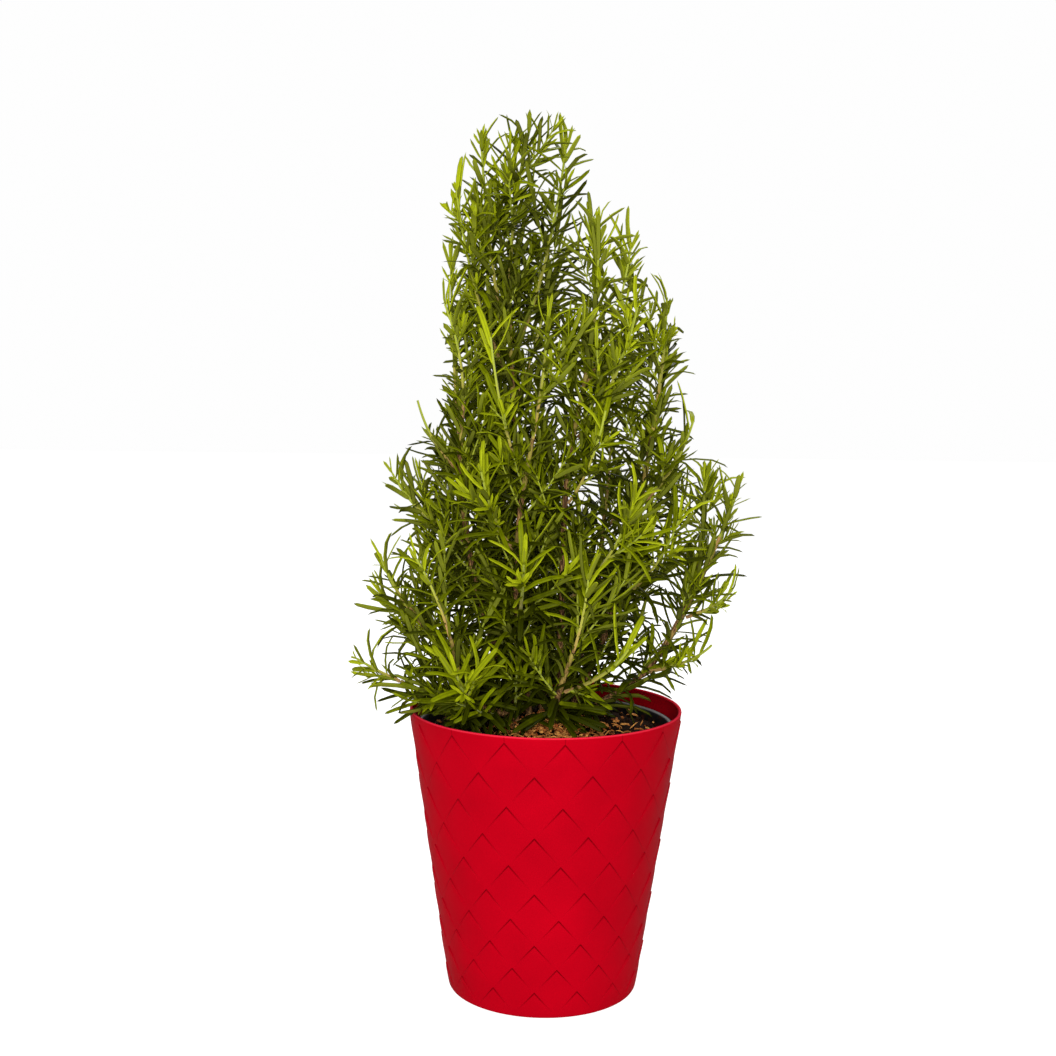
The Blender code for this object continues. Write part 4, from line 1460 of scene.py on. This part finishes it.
    def make(self, name, twig_material):
        """Twigs and leaves joined as one piece."""
        parts = []
        if self.twigs:
            tubes = tube_mesh(name, [(points, radii) for points, radii, _ in self.twigs], 0)
            layer = tubes.data.attributes.new("tone", "FLOAT", "POINT")
            knots = [knot for points, _, youth in self.twigs for knot in zip(points, spread(youth, points))]
            places = [point for point, _ in knots]
            for vert, mark in zip(tubes.data.vertices, layer.data):
                nearest = min(range(len(places)), key=lambda i: (places[i] - vert.co).length_squared)
                mark.value = knots[nearest][1]
            paint(tubes, twig_material)
            parts.append(tubes)
        parts += [copy_to(self.models[shape], matrix, tone) for shape, matrix, tone in self.leaves]
        return join_all(name, parts)


def spread(youth, points):
    """A twig's youth at each of its points: one number, or from the first number to the second."""
    if isinstance(youth, tuple):
        low, high = youth
        return [low + (high - low) * i / (len(points) - 1) for i in range(len(points))]
    return [youth] * len(points)


def model_leaves(sizes, colours):
    """The grown leaf shapes, then the same number of small leaves with fewer faces."""
    finish = rosemary_leaf(colours)
    length, width = sizes.leaf_length, sizes.leaf_width
    grown = [
        model_leaf(f"leaf_model_{i}", LEAF_SECTION, LEAF_STATIONS, turns, length, width, finish)
        for i, turns in enumerate(LEAF_SHAPES)
    ]
    small = [
        model_leaf(f"small_leaf_model_{i}", SMALL_SECTION, SMALL_STATIONS, turns[::2], length, width, finish)
        for i, turns in enumerate(LEAF_SHAPES)
    ]
    return grown + small


def build_stems(sizes, colours):
    """The woody stems, and the leaves and sprigs that grow straight from them."""
    bark = stem_bark(colours)
    twig = green_twig(colours)
    models = model_leaves(sizes, colours)
    for number, name in enumerate(STEMS):
        draw = Random(sizes.seed + 50 + number)
        path = stem_path(name, 44)
        radii = []
        for i in range(len(path)):
            radius = between(STEM_FOOT_RADIUS, STEM_END_RADIUS, i / (len(path) - 1))
            radii.append(radius * (1 + 0.10 * draw.uniform(-1, 1)))
        stem = tube_mesh("woody_stem_" + name, [(path, radii)], 2)
        layer = stem.data.attributes.new("tone", "FLOAT", "POINT")
        low, high = path[0].z, path[-1].z
        for vert, mark in zip(stem.data.vertices, layer.data):
            mark.value = 0.9 * max(0.0, (vert.co.z - low) / (high - low)) ** 1.5
        paint(stem, bark)
        settle(stem, "bark", "stem_" + name)
        grown = Foliage(models, sizes, sizes.seed + 100 + number)
        is_low = name.startswith("low")
        branching = LEFT_STEM_BRANCHING if "left" in name else STEM_BRANCHING
        whole = path_length(path)
        grown.cluster(
            path,
            STEM_END_RADIUS,
            sizes.leaf_length,
            sizes.leaf_width,
            STEM_TONES,
            BARE_LOW_STEM if is_low else BARE_STEM,
            sizes.branch_share * branching,
            sizes.sprig_share * STEM_SPRIGS,
        )
        if is_low or "front" in name or "right" in name:
            # Broad drooping leaves over the soil and the rim
            feet = 8 if "right" in name else 5
            for i in range(feet):
                point, heading = place_along(path, 0.016 + whole * 0.5 * i / feet)
                for _ in range(2):
                    spin = draw.uniform(0, 2 * pi)
                    outward = Vector((sin(spin), -abs(cos(spin)), 0))
                    length = sizes.base_leaf_length * draw.uniform(0.70, 1.12)
                    width = sizes.base_leaf_width * draw.uniform(0.60, 1.15)
                    lean = radians(draw.uniform(62, 95))
                    tone = draw.uniform(*BROAD_TONES)
                    grown.leaf(point, heading, outward, lean, length, width, tone, DROOPING)
        leaves = grown.make("stem_leaves_" + name, twig)
        settle(leaves, "leaf")
    discard(*models)


def build_shoots(sizes, colours):
    """Every leafy shoot: a green twig with its leaves and sprigs."""
    twig = green_twig(colours)
    models = model_leaves(sizes, colours)
    for number, path in enumerate(plan_shoots()):
        grown = Foliage(models, sizes, sizes.seed + 200 + number)
        steps = len(path) - 1
        radii = [between(SHOOT_FOOT_RADIUS, SHOOT_END_RADIUS, i / steps) for i in range(len(path))]
        grown.twigs.append((path, radii, (0.05, 0.75)))
        branching = LEFT_SHOOT_BRANCHING if path[-1].x < LEFT_SIDE else SHOOT_BRANCHING
        grown.cluster(
            path,
            SHOOT_END_RADIUS,
            sizes.leaf_length,
            sizes.leaf_width,
            SHOOT_TONES,
            0.004,
            sizes.branch_share * branching,
            sizes.sprig_share,
        )
        shoot = grown.make(f"leafy_shoot_{number + 1:02d}", twig)
        settle(shoot, "leaf", f"shoot_{number + 1:02d}")
    discard(*models)


# ---------------------------------------------------------------- stage


VIEW_POINT = (-0.012, -0.874, 0.364)
VIEW_TILT = radians(84.53)
VIEW_ROLL = radians(0.7)
VIEW_LENS = 49.8


def build_stage():
    """A plain pale floor, soft studio light from the front, left, top and back, and the camera."""
    scene = bpy.context.scene
    scene.view_settings.view_transform = "Standard"
    bpy.ops.mesh.primitive_plane_add(size=14, location=(0, 0, -0.0002))
    floor = bpy.context.object
    floor.name = "pale_floor"
    # Matt white card that glows a little, like a light table, so it stays white to its far edge
    finish, tree, shader = new_material(
        "matt_white_card", {"Roughness": 0.95, "Specular IOR Level": 0.0, "Emission Color": (1, 1, 1, 1)}
    )
    glow = add_node(
        tree,
        "ShaderNodeMapRange",
        values={"From Min": 0, "From Max": 1, "To Min": 0.20, "To Max": 0.86},
        links={"Value": add_node(tree, "ShaderNodeLightPath").outputs["Is Camera Ray"]},
    )
    tree.links.new(glow.outputs["Result"], shader.inputs["Emission Strength"])
    place = add_node(tree, "ShaderNodeTexCoord").outputs["Object"]
    tooth = add_node(tree, "ShaderNodeTexNoise", values={"Scale": 60, "Detail": 4}, links={"Vector": place})
    pale = add_node(
        tree,
        "ShaderNodeValToRGB",
        links={"Fac": tooth.outputs["Fac"]},
        stops=[(0.0, grey(0.50)), (1.0, grey(0.54))],
    )
    tree.links.new(pale.outputs["Color"], shader.inputs["Base Color"])
    paint(floor, finish)

    world = bpy.data.worlds.new("pale_studio")
    scene.world = world
    world.use_nodes = True
    tree = world.node_tree
    tree.nodes.clear()
    seen = add_node(tree, "ShaderNodeLightPath").outputs["Is Camera Ray"]
    glow = add_node(
        tree,
        "ShaderNodeMapRange",
        values={"From Min": 0, "From Max": 1, "To Min": 0.28, "To Max": 0.99},
        links={"Value": seen},
    )
    sky = add_node(
        tree,
        "ShaderNodeBackground",
        values={"Color": (1, 1, 1, 1)},
        links={"Strength": glow.outputs["Result"]},
    )
    add_node(tree, "ShaderNodeOutputWorld", links={"Surface": sky.outputs["Background"]})

    def softbox(name, place, size, power, target=(0, 0, 0.24)):
        lamp = bpy.data.lights.new(name, "AREA")
        lamp.shape = "RECTANGLE"
        lamp.size, lamp.size_y = size
        lamp.energy = power
        made = bpy.data.objects.new(name, lamp)
        scene.collection.objects.link(made)
        made.location = place
        made.rotation_euler = (Vector(target) - Vector(place)).to_track_quat("-Z", "Y").to_euler()

    softbox("key_softbox", (-0.10, -1.80, 0.75), (0.7, 0.9), 36)
    softbox("left_strip", (-1.5, -0.35, 0.45), (0.3, 1.2), 1.2)
    softbox("top_panel", (0.0, 0.1, 2.2), (2.0, 2.0), 5)
    softbox("back_fill", (0.45, 1.60, 1.90), (1.0, 0.8), 22)

    lens = bpy.data.cameras.new("camera")
    lens.sensor_width = 36
    lens.lens = VIEW_LENS
    camera = bpy.data.objects.new("camera", lens)
    scene.collection.objects.link(camera)
    aim = Matrix.Rotation(VIEW_TILT, 4, "X") @ Matrix.Rotation(VIEW_ROLL, 4, "Z")
    camera.matrix_world = Matrix.Translation(VIEW_POINT) @ aim
    scene.camera = camera


# ---------------------------------------------------------------- operators


class OBJECT_OT_rosemary_cover_pot(bpy.types.Operator):
    """Build the red cover pot with its relief of scales"""

    bl_idname = "object.rosemary_cover_pot"
    bl_label = "Cover Pot"

    def execute(self, context):
        build_cover_pot(context.scene.rosemary_sizes, context.scene.rosemary_colours)
        return {"FINISHED"}


class OBJECT_OT_rosemary_nursery_pot(bpy.types.Operator):
    """Build the black nursery pot that stands inside the cover pot"""

    bl_idname = "object.rosemary_nursery_pot"
    bl_label = "Nursery Pot"

    def execute(self, context):
        build_nursery_pot(context.scene.rosemary_colours)
        return {"FINISHED"}


class OBJECT_OT_rosemary_soil(bpy.types.Operator):
    """Build the potting mix with its loose crumbs"""

    bl_idname = "object.rosemary_soil"
    bl_label = "Potting Mix"

    def execute(self, context):
        build_soil(context.scene.rosemary_sizes, context.scene.rosemary_colours)
        return {"FINISHED"}


class OBJECT_OT_rosemary_chips(bpy.types.Operator):
    """Scatter the coir and bark chips on the potting mix"""

    bl_idname = "object.rosemary_chips"
    bl_label = "Coir Chips"

    def execute(self, context):
        build_chips(context.scene.rosemary_sizes, context.scene.rosemary_colours)
        return {"FINISHED"}


class OBJECT_OT_rosemary_stems(bpy.types.Operator):
    """Grow the woody stems and the leaves on them"""

    bl_idname = "object.rosemary_stems"
    bl_label = "Woody Stems"

    def execute(self, context):
        build_stems(context.scene.rosemary_sizes, context.scene.rosemary_colours)
        return {"FINISHED"}


class OBJECT_OT_rosemary_shoots(bpy.types.Operator):
    """Grow the leafy shoots"""

    bl_idname = "object.rosemary_shoots"
    bl_label = "Leafy Shoots"

    def execute(self, context):
        build_shoots(context.scene.rosemary_sizes, context.scene.rosemary_colours)
        return {"FINISHED"}


class OBJECT_OT_rosemary_stage(bpy.types.Operator):
    """Add the floor, the lights and the camera"""

    bl_idname = "object.rosemary_stage"
    bl_label = "Stage"

    def execute(self, context):
        build_stage()
        return {"FINISHED"}


STEPS = (
    OBJECT_OT_rosemary_cover_pot,
    OBJECT_OT_rosemary_nursery_pot,
    OBJECT_OT_rosemary_soil,
    OBJECT_OT_rosemary_chips,
    OBJECT_OT_rosemary_stems,
    OBJECT_OT_rosemary_shoots,
    OBJECT_OT_rosemary_stage,
)


class VIEW3D_PT_rosemary(bpy.types.Panel):
    """Lists the settings and the building steps"""

    bl_idname = "VIEW3D_PT_rosemary"
    bl_label = "Potted Rosemary"
    bl_space_type = "VIEW_3D"
    bl_region_type = "UI"
    bl_category = "Rosemary"

    def draw(self, context):
        for settings in (context.scene.rosemary_sizes, context.scene.rosemary_colours):
            column = self.layout.column()
            for name in settings.__annotations__:
                column.prop(settings, name)
        for step in STEPS:
            self.layout.operator(step.bl_idname)


CLASSES = (RosemarySizes, RosemaryColours, *STEPS, VIEW3D_PT_rosemary)


def register():
    for cls in CLASSES:
        bpy.utils.register_class(cls)
    bpy.types.Scene.rosemary_sizes = bpy.props.PointerProperty(type=RosemarySizes)
    bpy.types.Scene.rosemary_colours = bpy.props.PointerProperty(type=RosemaryColours)


def unregister():
    del bpy.types.Scene.rosemary_sizes
    del bpy.types.Scene.rosemary_colours
    for cls in reversed(CLASSES):
        bpy.utils.unregister_class(cls)


def main():
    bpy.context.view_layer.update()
    register()
    bpy.ops.object.rosemary_stage()
    bpy.ops.object.rosemary_cover_pot()
    bpy.ops.object.rosemary_nursery_pot()
    bpy.ops.object.rosemary_soil()
    bpy.ops.object.rosemary_chips()
    bpy.ops.object.rosemary_stems()
    bpy.ops.object.rosemary_shoots()


if __name__ == "__main__":
    main()
